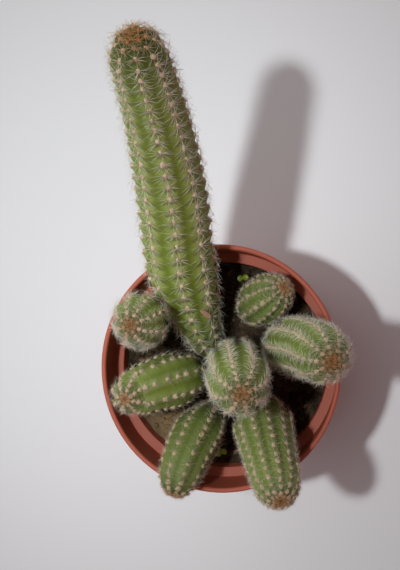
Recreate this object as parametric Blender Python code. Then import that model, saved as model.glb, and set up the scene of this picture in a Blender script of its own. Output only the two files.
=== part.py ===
"""A peanut cactus with eight ribbed, spiny stems in a small round plastic nursery pot.

The driving sizes are in millimetres and the model is built in metres, +Z up, with the
origin in the middle of the pot's underside. +X is to the right and -Y to the front.
"""
import math

import bmesh
import bpy
import numpy as np

MM = 0.001
CLEARANCE = 0.3

# Pot: outer radii and heights of its turned wall.
RIM_RADIUS = 27.5
POT_HEIGHT = 50.0
LIP_HEIGHT = 1.1
LIP_ROUND = 0.35
COLLAR_RADIUS = 27.2
COLLAR_FOOT_RADIUS = 26.7
COLLAR_FOOT_Z = 39.4
COLLAR_OVAL = 0.037
BODY_TOP_RADIUS = 24.5
BASE_RADIUS = 19.4
WALL = 0.8
FLOOR = 1.2
CORNER = 0.6
POT_SIDES = 48
DRAIN_HOLES = 4
DRAIN_RADIUS = 2.6
DRAIN_CIRCLE = 12.0

# Soil: a plug of potting mix with a crumbly top and plain holes for what grows in it.
SOIL_TOP = 36.8
SOIL_CRUMB = 0.45
SOIL_SIDES = 36
SOIL_RINGS = (3.0, 7.5, 12.0, 16.0, 19.5)
SOIL_SEED = 7
HOLE_DEPTH = 3.2
HOLE_SIDES = 12
CUT_PAST = 5.0

# Stems: the pattern of ribs, areoles and spines that all of them share.
VALLEY_DEPTH = 0.15
NOTCH_DEPTH = 0.08
RIB_START = 1.0
RIB_FADE = 6.0
CAP_STRETCH = 1.5
APEX_DIMPLE = 0.3
PAD_HALF = 0.52
PAD_SHARE = 0.3
PAD_RISE = 0.3
SPINE_LENGTH = 2.9
SPINE_SPLAY = math.radians(58)
TIP_SPLAY = math.radians(34)
TIP_ZONE = 10.0
SPLAY_JITTER = 0.08
SPINE_SHARES = (1.0, 0.8, 0.6, 0.45)
TRAIL_SHARES = (0.4, 0.7, 1.0)
CURVE_SAMPLES = 240

# Each stem: the route of its axis from the foot to the apex, its radii, and over what lengths
# it swells to its body's radius and holds it. Then its ribs, the areoles' pitch and the angle
# of the first rib.
STEMS = {
    "stem_tall": dict(
        route=[(-4.2, 5.2, 33.9), (-4.3, 5.6, 38.5), (-5.7, 11.1, 47.3), (-7.7, 23.9, 59.2),
               (-7.5, 42.1, 76.8), (-7.8, 57.7, 96.2), (-9.2, 76.2, 122.8)],
        neck=4.0, body=7.8, tip=6.1, swell=32.0, hold=23.0, ribs=8, pitch=3.9, turn=0.21),
    "stem_centre": dict(
        route=[(3.2, -1.4, 33.9), (3.2, -1.2, 38.5), (3.3, 0.2, 50.0), (5.7, 0.4, 66.0),
               (9.0, -1.6, 87.5)],
        neck=2.9, body=6.8, tip=6.4, swell=20.0, hold=0.0, ribs=8, pitch=3.9, turn=0.31),
    "stem_right": dict(
        route=[(11.0, 4.2, 33.9), (11.4, 4.3, 38.5), (15.0, 5.2, 48.0), (20.0, 6.1, 60.0),
               (24.0, 6.3, 71.0), (28.4, 5.2, 83.5)],
        neck=2.9, body=6.6, tip=6.2, swell=19.0, hold=0.0, ribs=9, pitch=3.9, turn=0.37),
    "stem_front_right": dict(
        route=[(7.6, -9.6, 33.9), (7.8, -9.9, 38.5), (9.9, -13.3, 50.6), (12.6, -18.6, 62.0),
               (16.2, -27.0, 74.5)],
        neck=2.9, body=6.8, tip=5.0, swell=14.0, hold=0.0, ribs=11, pitch=4.0, turn=0.37),
    "stem_front_left": dict(
        route=[(-2.6, -10.4, 33.9), (-2.9, -10.8, 38.0), (-4.9, -14.0, 46.6), (-7.8, -20.8, 55.2),
               (-10.2, -28.3, 58.0)],
        neck=2.7, body=5.8, tip=4.5, swell=14.0, hold=0.0, ribs=8, pitch=3.9, turn=0.11),
    "stem_left": dict(
        route=[(-7.8, -2.4, 33.9), (-7.9, -2.4, 39.0), (-9.0, -2.2, 47.3), (-14.4, -3.4, 53.2),
               (-19.4, -5.2, 56.0), (-20.7, -6.0, 60.4)],
        neck=2.8, body=6.2, tip=4.8, swell=15.0, hold=0.0, ribs=8, pitch=3.9, turn=0.37),
    "stem_back_left": dict(
        route=[(-16.8, 7.3, 33.9), (-16.9, 7.4, 39.0), (-17.7, 9.0, 50.0), (-17.2, 11.0, 59.0),
               (-15.9, 12.8, 67.5), (-17.2, 12.2, 75.5)],
        neck=2.8, body=6.0, tip=6.1, swell=30.0, hold=0.0, ribs=8, pitch=3.9, turn=0.37),
    "stem_back_right": dict(
        route=[(5.5, 11.9, 33.9), (5.7, 12.1, 37.6), (8.0, 14.4, 43.8), (15.0, 19.0, 52.2)],
        neck=2.6, body=5.4, tip=5.2, swell=10.0, hold=0.0, ribs=10, pitch=3.9, turn=0.09),
}

# Two seedlings that have come up in the soil: place and turn in degrees.
SEEDLINGS = {"seedling_front": (-1.2, -20.6, 20.0), "seedling_back": (4.0, 20.0, 10.0)}
SEEDLING_STALK = 0.9
SEEDLING_HEIGHT = 1.9
SEEDLING_LEAF = 0.7
SEEDLING_SPAN = 1.1
# Each step of a seed leaf: its share of the span, its rise and how much wider it gets.
SEED_LEAF_STEPS = ((0.6, 0.15, 1.7), (0.4, 0.3, 0.45))


def clear_scene():
    for thing in list(bpy.data.objects):
        bpy.data.objects.remove(thing)


def plain_material(name, rgb, roughness):
    material = bpy.data.materials.new(name)
    material.use_nodes = True
    shader = material.node_tree.nodes["Principled BSDF"]
    shader.inputs["Base Color"].default_value = (*rgb, 1.0)
    shader.inputs["Roughness"].default_value = roughness
    shader.inputs["Metallic"].default_value = 0.0
    return material


def new_object(name, mesh, material):
    thing = bpy.data.objects.new(name, mesh)
    bpy.context.scene.collection.objects.link(thing)
    mesh.materials.append(material)
    return thing


def mesh_from_bmesh(name, bm):
    bmesh.ops.recalc_face_normals(bm, faces=bm.faces)
    mesh = bpy.data.meshes.new(name)
    bm.to_mesh(mesh)
    bm.free()
    return mesh


def turned_mesh(name, profile, sides):
    """Spin an (r, z) outline, whose ends lie on the Z axis, into a closed mesh."""
    bm = bmesh.new()
    points = [bm.verts.new((r * MM, 0.0, z * MM)) for r, z in profile]
    edges = [bm.edges.new(pair) for pair in zip(points, points[1:])]
    bmesh.ops.spin(bm, geom=points + edges, axis=(0, 0, 1), cent=(0, 0, 0),
                   angle=math.tau, steps=sides, use_merge=True)
    bmesh.ops.remove_doubles(bm, verts=bm.verts, dist=0.01 * MM)
    return mesh_from_bmesh(name, bm)


def smooth(mesh, angle=40.0):
    mesh.shade_smooth()
    mesh.set_sharp_from_angle(angle=math.radians(angle))


def cutter(name, x, y, low, high, radius, sides):
    """An upright prism that a Boolean takes away."""
    bm = bmesh.new()
    bmesh.ops.create_cone(bm, cap_ends=True, segments=sides, radius1=radius * MM,
                          radius2=radius * MM, depth=(high - low) * MM)
    bmesh.ops.translate(bm, verts=bm.verts, vec=(x * MM, y * MM, (low + high) / 2 * MM))
    thing = bpy.data.objects.new(name, mesh_from_bmesh(name, bm))
    thing.hide_render = True
    thing.display_type = "WIRE"
    return thing


def cut_with(thing, cutters):
    group = bpy.data.collections.new(thing.name + "_cutters")
    bpy.context.scene.collection.children.link(group)
    for tool in cutters:
        group.objects.link(tool)
    cut = thing.modifiers.new("cut", "BOOLEAN")
    cut.operation = "DIFFERENCE"
    cut.operand_type = "COLLECTION"
    cut.collection = group
    cut.solver = "EXACT"


def collar_inner_radius(z):
    """Inside radius of the pot's collar at height z."""
    t = (z - COLLAR_FOOT_Z) / (POT_HEIGHT - COLLAR_FOOT_Z)
    return COLLAR_FOOT_RADIUS + (COLLAR_RADIUS - COLLAR_FOOT_RADIUS) * t - WALL


def collar_oval(z):
    """How much longer the pot is along Y at height z: round up to the collar, oval at the rim."""
    t = (z - COLLAR_FOOT_Z) / (POT_HEIGHT - COLLAR_FOOT_Z)
    return 1.0 + COLLAR_OVAL * min(max(t, 0.0), 1.0)


def body_outer_radius(z):
    return BASE_RADIUS + (BODY_TOP_RADIUS - BASE_RADIUS) * z / COLLAR_FOOT_Z


def pot_profile():
    """Underside, tapered body, step, collar with its lip, then back down the inside."""
    ledge = COLLAR_FOOT_Z + WALL
    lip = POT_HEIGHT - LIP_HEIGHT
    rim_inside = collar_inner_radius(POT_HEIGHT)
    ledge_outside = collar_inner_radius(ledge)
    throat = BODY_TOP_RADIUS - WALL
    inner_floor = body_outer_radius(FLOOR) - WALL
    return [
        (0.0, 0.0),
        (BASE_RADIUS - CORNER, 0.0),
        (BASE_RADIUS, CORNER),
        (BODY_TOP_RADIUS, COLLAR_FOOT_Z - CORNER),
        (BODY_TOP_RADIUS + CORNER / 2, COLLAR_FOOT_Z),
        (COLLAR_FOOT_RADIUS - CORNER / 2, COLLAR_FOOT_Z),
        (COLLAR_FOOT_RADIUS, COLLAR_FOOT_Z + CORNER),
        (COLLAR_RADIUS, lip),
        (RIM_RADIUS, lip + LIP_ROUND / 2),
        (RIM_RADIUS, POT_HEIGHT - LIP_ROUND),
        (RIM_RADIUS - LIP_ROUND, POT_HEIGHT),
        (rim_inside + LIP_ROUND, POT_HEIGHT),
        (rim_inside, POT_HEIGHT - LIP_ROUND),
        (ledge_outside, ledge + LIP_ROUND),
        (ledge_outside - LIP_ROUND, ledge),
        (throat + LIP_ROUND, ledge - LIP_ROUND / 2),
        (throat, ledge - CORNER),
        (inner_floor, FLOOR + CORNER),
        (inner_floor - CORNER, FLOOR),
        (0.0, FLOOR),
    ]


def make_pot(material):
    mesh = turned_mesh("pot", pot_profile(), POT_SIDES)
    for vertex in mesh.vertices:
        vertex.co.y *= collar_oval(vertex.co.z / MM)
    smooth(mesh)
    pot = new_object("pot", mesh, material)
    holes = []
    for k in range(DRAIN_HOLES):
        angle = math.tau * (k + 0.5) / DRAIN_HOLES
        x = DRAIN_CIRCLE * math.cos(angle)
        y = DRAIN_CIRCLE * math.sin(angle)
        holes.append(cutter(f"drain_{k}", x, y, -FLOOR, 2 * FLOOR, DRAIN_RADIUS, HOLE_SIDES))
    cut_with(pot, holes)


def make_soil(material):
    """A plug that follows the pot's taper, with a seeded crumbly top and plain holes."""
    rng = np.random.default_rng(SOIL_SEED)
    bottom = FLOOR + CLEARANCE
    wall_gap = WALL + 1.5 * CLEARANCE
    edge_low = body_outer_radius(bottom) - wall_gap - CORNER
    edge_high = body_outer_radius(SOIL_TOP) - wall_gap
    profile = [(0.0, bottom), (edge_low, bottom), (edge_high, SOIL_TOP)]
    profile += [(r, SOIL_TOP) for r in reversed(SOIL_RINGS)]
    profile.append((0.0, SOIL_TOP))
    mesh = turned_mesh("soil", profile, SOIL_SIDES)
    for vertex in mesh.vertices:
        on_top = vertex.co.z > (SOIL_TOP - SOIL_CRUMB) * MM
        inside_edge = math.hypot(vertex.co.x, vertex.co.y) < (edge_high - 1.0) * MM
        if on_top and inside_edge:
            vertex.co.z += rng.uniform(-SOIL_CRUMB, SOIL_CRUMB) * MM
    soil = new_object("soil", mesh, material)
    high = SOIL_TOP + CUT_PAST
    holes = []
    for name, spec in STEMS.items():
        x, y, foot = spec["route"][0]
        radius = (spec["neck"] + 1.3 * CLEARANCE) / math.cos(math.pi / HOLE_SIDES)
        holes.append(cutter(name + "_hole", x, y, foot - CLEARANCE, high, radius, HOLE_SIDES))
    for name, (x, y, _) in SEEDLINGS.items():
        radius = SEEDLING_STALK * math.sqrt(0.5) + CLEARANCE
        holes.append(cutter(name + "_hole", x, y, SOIL_TOP - HOLE_DEPTH, high, radius, HOLE_SIDES))
    cut_with(soil, holes)


def unit(vectors):
    return vectors / np.linalg.norm(vectors, axis=-1, keepdims=True)


def smooth_route(points):
    """A Catmull-Rom curve through the points, sampled evenly, with its tangents."""
    points = np.array(points, float)
    ghost = np.vstack([2 * points[0] - points[1], points, 2 * points[-1] - points[-2]])
    knots = np.concatenate([[0.0], np.cumsum(np.sqrt(np.linalg.norm(np.diff(ghost, axis=0), axis=1)))])
    pieces = []
    for k in range(1, len(ghost) - 2):
        t = np.linspace(knots[k], knots[k + 1], 60, endpoint=False)[:, None]
        t0, t1, t2, t3 = knots[k - 1:k + 3]
        p0, p1, p2, p3 = ghost[k - 1:k + 3]
        a1 = (t1 - t) / (t1 - t0) * p0 + (t - t0) / (t1 - t0) * p1
        a2 = (t2 - t) / (t2 - t1) * p1 + (t - t1) / (t2 - t1) * p2
        a3 = (t3 - t) / (t3 - t2) * p2 + (t - t2) / (t3 - t2) * p3
        b1 = (t2 - t) / (t2 - t0) * a1 + (t - t0) / (t2 - t0) * a2
        b2 = (t3 - t) / (t3 - t1) * a2 + (t - t1) / (t3 - t1) * a3
        pieces.append((t2 - t) / (t2 - t1) * b1 + (t - t1) / (t2 - t1) * b2)
    fine = np.vstack(pieces + [ghost[-2:-1]])
    along = np.concatenate([[0.0], np.cumsum(np.linalg.norm(np.diff(fine, axis=0), axis=1))])
    even = np.linspace(0.0, along[-1], CURVE_SAMPLES)
    curve = np.stack([np.interp(even, along, fine[:, k]) for k in range(3)], axis=1)
    return even, curve, unit(np.gradient(curve, even, axis=0))


def carried_frame(tangents):
    """Two directions across the curve, carried along it without twisting."""
    side = np.zeros_like(tangents)
    now = np.array([1.0, 0.0, 0.0])
    for k, tangent in enumerate(tangents):
        now = now - tangent * (now @ tangent)
        now = now / np.linalg.norm(now)
        side[k] = now
    return side, np.cross(tangents, side)


class Stem:
    """One stem: its axis, and its silhouette's radius along it."""

    def __init__(self, name, spec):
        self.name = name
        self.spec = spec
        self.columns = 2 * spec["ribs"]
        self.s, self.axis, self.tangent = smooth_route(spec["route"])
        self.side, self.across = carried_frame(self.tangent)
        self.radius = self.silhouette(self.s)
        self.lean = np.arctan(-np.gradient(self.radius, self.s))
        steps = np.hypot(np.diff(self.s), np.diff(self.radius))
        self.m = np.concatenate([[0.0], np.cumsum(steps)])

    def silhouette(self, s):
        """Neck in the soil, a swell to the body, a hold, a straight taper and a rounded tip."""
        neck, body, tip, swell = (self.spec[key] for key in ("neck", "body", "tip", "swell"))
        full = HOLE_DEPTH + swell + self.spec["hold"]
        grow = np.clip((s - HOLE_DEPTH) / swell, 0.0, 1.0)
        rest = np.clip((s - full) / (s[-1] - full), 0.0, 1.0)
        plain = neck + (body - neck) * grow * grow * (3 - 2 * grow) + (tip - body) * rest
        cap = tip * CAP_STRETCH
        over = np.clip((s - s[-1] + cap) / cap, 0.0, 1.0)
        return plain * np.sqrt(1.0 - over ** 2)

    def along(self, m):
        """Length along the axis at the length m along the stem's outline."""
        return float(np.interp(m, self.m, self.s))

    def read(self, values, m):
        """Vectors kept along the axis, read at the outline length m."""
        s = self.along(m)
        return np.array([np.interp(s, self.s, values[:, k]) for k in range(3)])

    def direction(self, m):
        return unit(self.read(self.tangent, m))

    def at(self, m, column):
        """Axis point, outward direction, surface normal and radius in a column at m."""
        s = self.along(m)
        angle = math.tau * column / self.columns + self.spec["turn"]
        side = math.cos(angle) * self.read(self.side, m)
        out = unit(side + math.sin(angle) * self.read(self.across, m))
        lean = np.interp(s, self.s, self.lean)
        normal = math.cos(lean) * out + math.sin(lean) * self.direction(m)
        return self.read(self.axis, m), out, normal, float(np.interp(s, self.s, self.radius))

    def relief(self, m):
        """How far the ribs stand out: nothing in the soil, full on the body."""
        return float(np.clip((self.along(m) - HOLE_DEPTH - RIB_START) / RIB_FADE, 0.0, 1.0))

    def distance(self, points):
        """Distance from the points to this stem's silhouette."""
        apart = np.linalg.norm(np.asarray(points)[:, None, :] - self.axis[None], axis=2)
        return (apart - self.radius[None]).min(axis=1)

    def rings(self):
        """Outline lengths of the rings, foot to apex, and whether each carries areoles."""
        pitch = self.spec["pitch"]
        start = float(np.interp(HOLE_DEPTH + pitch - 1.0, self.s, self.m))
        low = self.m[-1] - PAD_SHARE * 2 * pitch
        rings = []
        while low > start:
            rings.append((low, True))
            rings.append((low - 0.5 * pitch, False))
            low -= pitch
        rings.append((rings[-1][0] * 0.5, False))
        rings.append((0.0, False))
        return rings[::-1]


def clear_of_pot(point):
    """Whether a point stays off the soil, the collar's inside and the rim."""
    x, y, z = point
    if z < SOIL_TOP + SOIL_CRUMB + CLEARANCE:
        return False
    if z > POT_HEIGHT + 2 * CLEARANCE:
        return True
    if z < COLLAR_FOOT_Z + 2 * CORNER:
        inside = BODY_TOP_RADIUS - WALL
    else:
        inside = collar_inner_radius(z)
    return math.hypot(x, y / collar_oval(z)) < inside - 2 * CLEARANCE


def spine_tip(stem, others, root, direction):
    """The spine's point, drawn in where another stem or the pot is too near."""
    for share in SPINE_SHARES:
        tip = root + direction * SPINE_LENGTH * share
        trail = [root + (tip - root) * t for t in TRAIL_SHARES]
        own = stem.distance(trail)
        spare = min((other.distance(trail) - own).min() for other in others)
        if spare > 2 * CLEARANCE and all(clear_of_pot(point) for point in trail):
            return tip
    return None


class Skin:
    """The closed skin of one stem: a grid of rings and columns, with pads and spines."""

    def __init__(self, stem, others):
        self.stem = stem
        self.others = others
        self.rings = stem.rings()
        self.rng = np.random.default_rng(sum(map(ord, stem.name)))
        self.points = []
        self.faces = []
        self.corners = {}
        self.lay_grid()
        self.fill_cells()
        self.close_ends()

    def add(self, point):
        self.points.append(np.asarray(point, float))
        return len(self.points) - 1

    def lay_grid(self):
        """Crests stand out, most at the areoles; every second areole gets a pad of spines."""
        for i, (m, has_areoles) in enumerate(self.rings):
            relief = self.stem.relief(m)
            for column in range(self.stem.columns):
                centre, out, normal, radius = self.stem.at(m, column)
                crest = column % 2 == 0
                areole = crest and has_areoles
                depth = VALLEY_DEPTH
                if crest:
                    depth = 0.0 if has_areoles else NOTCH_DEPTH
                surface = centre + out * radius * (1.0 - depth * relief)
                if areole and (i // 2 + column // 2) % 2 == 0:
                    self.grow_pad(i, column, surface, out, normal, radius)
                else:
                    rise = PAD_RISE / 2 if areole else 0.0
                    self.corners[i, column] = [self.add(surface + normal * rise)]

    def grow_pad(self, i, column, surface, out, normal, radius):
        """A four-cornered areole round a raised hub, with a spine on each quarter."""
        m = self.rings[i][0]
        around = unit(np.cross(self.stem.direction(m), out))
        ahead = unit(np.cross(normal, around))
        half = min(PAD_HALF, PAD_SHARE * math.tau * radius / self.stem.spec["ribs"])
        directions = (ahead, around, -ahead, -around)
        pad = [self.add(surface + direction * half) for direction in directions]
        hub_point = surface + normal * PAD_RISE
        hub = self.add(hub_point)
        self.corners[i, column] = pad
        inward = min((self.stem.m[-1] - m) / TIP_ZONE, 1.0)
        for k, first in enumerate(pad):
            second = pad[(k + 1) % len(pad)]
            away = unit(directions[k] + directions[(k + 1) % len(pad)])
            splay = TIP_SPLAY + (SPINE_SPLAY - TIP_SPLAY) * inward
            splay += self.rng.uniform(-SPLAY_JITTER, SPLAY_JITTER)
            root = (self.points[first] + self.points[second] + hub_point) / 3
            direction = normal * math.cos(splay) + away * math.sin(splay)
            tip = spine_tip(self.stem, self.others, root, direction)
            if tip is None:
                self.faces.append((hub, second, first))
            else:
                point = self.add(tip)
                self.faces += [(hub, second, point), (second, first, point), (first, hub, point)]

    def corner(self, i, column, up, right):
        """The grid point, or the two pad corners that face a cell's middle."""
        found = self.corners[i, column % self.stem.columns]
        if len(found) == 1:
            return found
        ahead, rightward, back, leftward = found
        pairs = {(1, 1): [ahead, rightward], (-1, 1): [rightward, back],
                 (-1, -1): [back, leftward], (1, -1): [leftward, ahead]}
        return pairs[up, right]

    def fill_cells(self):
        for i in range(len(self.rings) - 1):
            for column in range(self.stem.columns):
                low = self.corner(i, column, 1, 1) + self.corner(i, column + 1, 1, -1)
                high = self.corner(i + 1, column + 1, -1, -1) + self.corner(i + 1, column, -1, 1)
                self.faces.append(tuple(low + high))

    def close_ends(self):
        foot = self.add(self.stem.axis[0])
        apex = self.add(self.stem.axis[-1] - self.stem.tangent[-1] * APEX_DIMPLE)
        last = len(self.rings) - 1
        for column in range(self.stem.columns):
            below = self.corner(0, column + 1, -1, -1) + self.corner(0, column, -1, 1)
            above = self.corner(last, column, 1, 1) + self.corner(last, column + 1, 1, -1)
            self.faces.append((foot, *below))
            self.faces.append((apex, *above))

    def mesh(self):
        mesh = bpy.data.meshes.new(self.stem.name)
        mesh.from_pydata([tuple(point * MM) for point in self.points], [], self.faces)
        bm = bmesh.new()
        bm.from_mesh(mesh)
        bmesh.ops.triangulate(bm, faces=bm.faces)
        bmesh.ops.recalc_face_normals(bm, faces=bm.faces)
        bm.to_mesh(mesh)
        bm.free()
        return mesh


def make_seedling(name, x, y, turn, material):
    """A square stalk in the soil whose top sends out two blunt seed leaves."""
    half = SEEDLING_STALK / 2
    low = SOIL_TOP - HOLE_DEPTH + CLEARANCE
    high = SOIL_TOP + SEEDLING_HEIGHT
    bm = bmesh.new()
    bmesh.ops.create_cube(bm, size=1.0)
    bmesh.ops.scale(bm, verts=bm.verts, vec=(SEEDLING_STALK, SEEDLING_STALK, high - low))
    bmesh.ops.translate(bm, verts=bm.verts, vec=(0, 0, (high + low) / 2))
    top = [face for face in bm.faces if face.normal.z > 0.9]
    grown = bmesh.ops.extrude_face_region(bm, geom=top)
    bmesh.ops.translate(bm, verts=[v for v in grown["geom"] if isinstance(v, bmesh.types.BMVert)],
                        vec=(0, 0, SEEDLING_LEAF))
    bmesh.ops.delete(bm, geom=top, context="FACES")
    for sign in (-1, 1):
        leaf = [f for f in bm.faces if f.normal.x * sign > 0.9 and f.calc_center_median().z > high]
        for share, rise, widen in SEED_LEAF_STEPS:
            grown = bmesh.ops.extrude_face_region(bm, geom=leaf)
            tips = [v for v in grown["geom"] if isinstance(v, bmesh.types.BMVert)]
            bmesh.ops.delete(bm, geom=leaf, context="FACES_ONLY")
            for v in tips:
                v.co.x += sign * SEEDLING_SPAN * share
                v.co.y *= widen
                v.co.z += rise
            leaf = [f for f in grown["geom"] if isinstance(f, bmesh.types.BMFace)]
    bmesh.ops.triangulate(bm, faces=bm.faces)
    mesh = mesh_from_bmesh(name, bm)
    angle = math.radians(turn)
    for v in mesh.vertices:
        px, py = v.co.x, v.co.y
        v.co.x = (x + px * math.cos(angle) - py * math.sin(angle)) * MM
        v.co.y = (y + px * math.sin(angle) + py * math.cos(angle)) * MM
        v.co.z *= MM
    new_object(name, mesh, material)


def main():
    clear_scene()
    make_pot(plain_material("terracotta_coloured_plastic", (0.42, 0.13, 0.09), 0.45))
    make_soil(plain_material("potting_mix", (0.03, 0.02, 0.015), 0.95))
    stems = [Stem(name, spec) for name, spec in STEMS.items()]
    for stem in stems:
        others = [other for other in stems if other is not stem]
        skin = plain_material(stem.name + "_skin", (0.13, 0.2, 0.05), 0.55)
        new_object(stem.name, Skin(stem, others).mesh(), skin)
    for name, (x, y, turn) in SEEDLINGS.items():
        make_seedling(name, x, y, turn, plain_material(name + "_leaf", (0.2, 0.45, 0.05), 0.5))


main()
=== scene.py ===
# %% [markdown]
# # A peanut cactus in a nursery pot
#
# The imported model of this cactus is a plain, faceted one: a pot, a plug of soil, eight stems
# and two seedlings. This lesson keeps those pieces where they are and gives them the surface
# that an eye expects up close: rounded ribs, woolly areoles, fine spines, crumbly soil and
# moulded plastic. Nearly every shape is a formula worked out with numpy for a whole grid of
# points at once, which is quick to compute and easy to change.
#
# The first step loads the model as a frame that stays fixed. Everything here is thought out
# in millimetres and turned into metres only when a mesh is made.

import math

import bpy
import numpy as np
from mathutils import Matrix, Vector


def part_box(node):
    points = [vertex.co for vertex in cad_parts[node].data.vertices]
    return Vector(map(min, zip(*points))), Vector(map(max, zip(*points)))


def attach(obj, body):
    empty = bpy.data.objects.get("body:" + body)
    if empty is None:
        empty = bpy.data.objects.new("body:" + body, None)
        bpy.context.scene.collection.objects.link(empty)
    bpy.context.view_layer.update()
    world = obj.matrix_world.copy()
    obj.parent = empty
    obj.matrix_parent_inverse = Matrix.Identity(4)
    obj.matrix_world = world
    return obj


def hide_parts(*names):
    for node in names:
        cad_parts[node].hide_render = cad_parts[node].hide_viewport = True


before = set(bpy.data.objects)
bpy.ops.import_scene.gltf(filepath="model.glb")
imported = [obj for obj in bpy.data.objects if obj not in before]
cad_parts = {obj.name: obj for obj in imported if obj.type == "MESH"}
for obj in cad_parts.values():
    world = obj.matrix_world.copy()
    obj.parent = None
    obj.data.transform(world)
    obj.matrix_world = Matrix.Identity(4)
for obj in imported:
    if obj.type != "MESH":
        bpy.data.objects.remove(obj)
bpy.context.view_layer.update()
MM = 0.001
BODY = "root"
print("nodes:", ", ".join(sorted(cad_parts)))

# %% [markdown]
# ## The camera
#
# The plant is seen from almost straight above, from about arm's length, through a long lens,
# so the sides of the pot hardly show and the tall stem, which leans away, is foreshortened.
# A camera that looks down has no natural "up", so its axes are built by hand: forward goes to
# the aim point, and the picture's up is as close to +Y as that allows.

# %% Place the camera
CAMERA_PLACE = Vector((89.0, 77.6, 800.0)) * MM
CAMERA_AIM = Vector((-4.6, 19.2, 50.0)) * MM
CAMERA_ROLL = math.radians(-0.3)
CAMERA_LENS = 210.3


def new_object(name, data):
    """An object that shows the data, linked into the scene."""
    made = bpy.data.objects.new(name, data)
    bpy.context.scene.collection.objects.link(made)
    return made


forward = (CAMERA_AIM - CAMERA_PLACE).normalized()
right = forward.cross(Vector((0.0, 1.0, 0.0))).normalized()
axes = Matrix((right, right.cross(forward), -forward)).transposed().to_4x4()
roll = Matrix.Rotation(CAMERA_ROLL, 4, "Z")
camera = new_object("camera", bpy.data.cameras.new("camera"))
camera.data.lens = CAMERA_LENS
camera.matrix_world = Matrix.Translation(CAMERA_PLACE) @ axes @ roll
bpy.context.scene.camera = camera
bpy.context.scene.view_settings.view_transform = "Standard"
print("camera looks down at", round(math.degrees(math.asin(-forward.z)), 1), "degrees")

# %% [markdown]
# ## Colours and materials
#
# Colours are written as the hex codes that any picture editor shows. Blender's sockets want
# linear light instead, so one function converts them. A second small function adds one node
# to a material, sets it up and plugs its inputs in, which keeps each material readable as a
# list of steps.

# %% Helpers for colours and nodes


def linear(code):
    """sRGB hex to linear light: the dark end is a straight line, the rest a 2.4 power curve."""
    parts = [int(code[k:k + 2], 16) / 255 for k in (1, 3, 5)]
    return [p / 12.92 if p <= 0.04045 else ((p + 0.055) / 1.055) ** 2.4 for p in parts] + [1.0]


def add_node(tree, kind, values=None, links=None, **settings):
    """Adds one node: settings are its properties, values fill sockets, links join them."""
    node = tree.nodes.new(kind)
    for name, value in settings.items():
        setattr(node, name, value)
    for socket, value in (values or {}).items():
        node.inputs[socket].default_value = value
    for socket, source in (links or {}).items():
        tree.links.new(source, node.inputs[socket])
    return node


def new_material(name, roughness, ior=1.5):
    """A material with an empty tree but for its shader; returns all three."""
    material = bpy.data.materials.new(name)
    material.use_nodes = True
    shader = material.node_tree.nodes["Principled BSDF"]
    shader.inputs["Roughness"].default_value = roughness
    shader.inputs["IOR"].default_value = ior
    return material, material.node_tree, shader


print("mid grey", linear("#808080")[0])

# %% [markdown]
# ## Floor and lamp
#
# The pot stands on a table of smooth white laminate. It is nearly matt, so it takes soft
# shadows and shows no mirror image. The light comes from one small lamp three metres above it,
# a little to the left and behind. Its rays are nearly parallel, so each shadow lies off its
# owner by about the same share of the owner's height, and the lamp's size sets how soft the
# edges are. The lamp throws a narrow beam, aimed beside the pot, so the table gets darker away
# from there.

# %% Lay the floor and hang the lamp
FLOOR_SIDE = 6000.0
LAMP_PLACE = Vector((-506.0, 280.0, 3000.0)) * MM
LAMP_AIM = Vector((-25.0, 16.0, 0.0)) * MM
LAMP_SIZE = 165.0
LAMP_BEAM = math.radians(5.1)
LAMP_WATTS = 0.0635
LAMP_COLOUR = "#F6FDFF"

laminate, tree, shader = new_material("white_laminate", roughness=0.5)
shader.inputs["Base Color"].default_value = linear("#DDDDDF")
floor_mesh = bpy.data.meshes.new("floor")
half = FLOOR_SIDE / 2 * MM
floor_mesh.from_pydata([(-half, -half, 0), (half, -half, 0), (half, half, 0), (-half, half, 0)],
                       [], [(0, 1, 2, 3)])
floor_mesh.materials.append(laminate)
floor = new_object("floor", floor_mesh)

lamp = new_object("lamp", bpy.data.lights.new("lamp", "AREA"))
lamp.data.shape = "DISK"
lamp.data.size = LAMP_SIZE * MM
lamp.data.energy = LAMP_WATTS
lamp.data.spread = LAMP_BEAM
lamp.data.color = linear(LAMP_COLOUR)[:3]
lamp.location = LAMP_PLACE
lamp.rotation_mode = "QUATERNION"
lamp.rotation_quaternion = (LAMP_AIM - LAMP_PLACE).to_track_quat("-Z", "Y")
lean = math.degrees(math.atan(LAMP_PLACE.xy.length / LAMP_PLACE.z))
print("the lamp stands", round(lean, 1), "degrees off overhead")

# %% [markdown]
# ## The room's glow
#
# Besides the lamp there is a dim glow from the sides of the room. It follows one line, from the
# bright side, at the left and behind, to the opposite side: the closer a ray runs to that line,
# the stronger the glow. It is white from the bright side, dark and reddish from the opposite
# one, and hardly anything comes from straight above. Where the camera looks at the room itself
# it sees an even, pale backdrop.

# %% Let the room glow
BRIGHT_SIDE = (-0.86, 0.5, 0.1)
GLOW = 1.25
BACKDROP = 0.75

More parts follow.
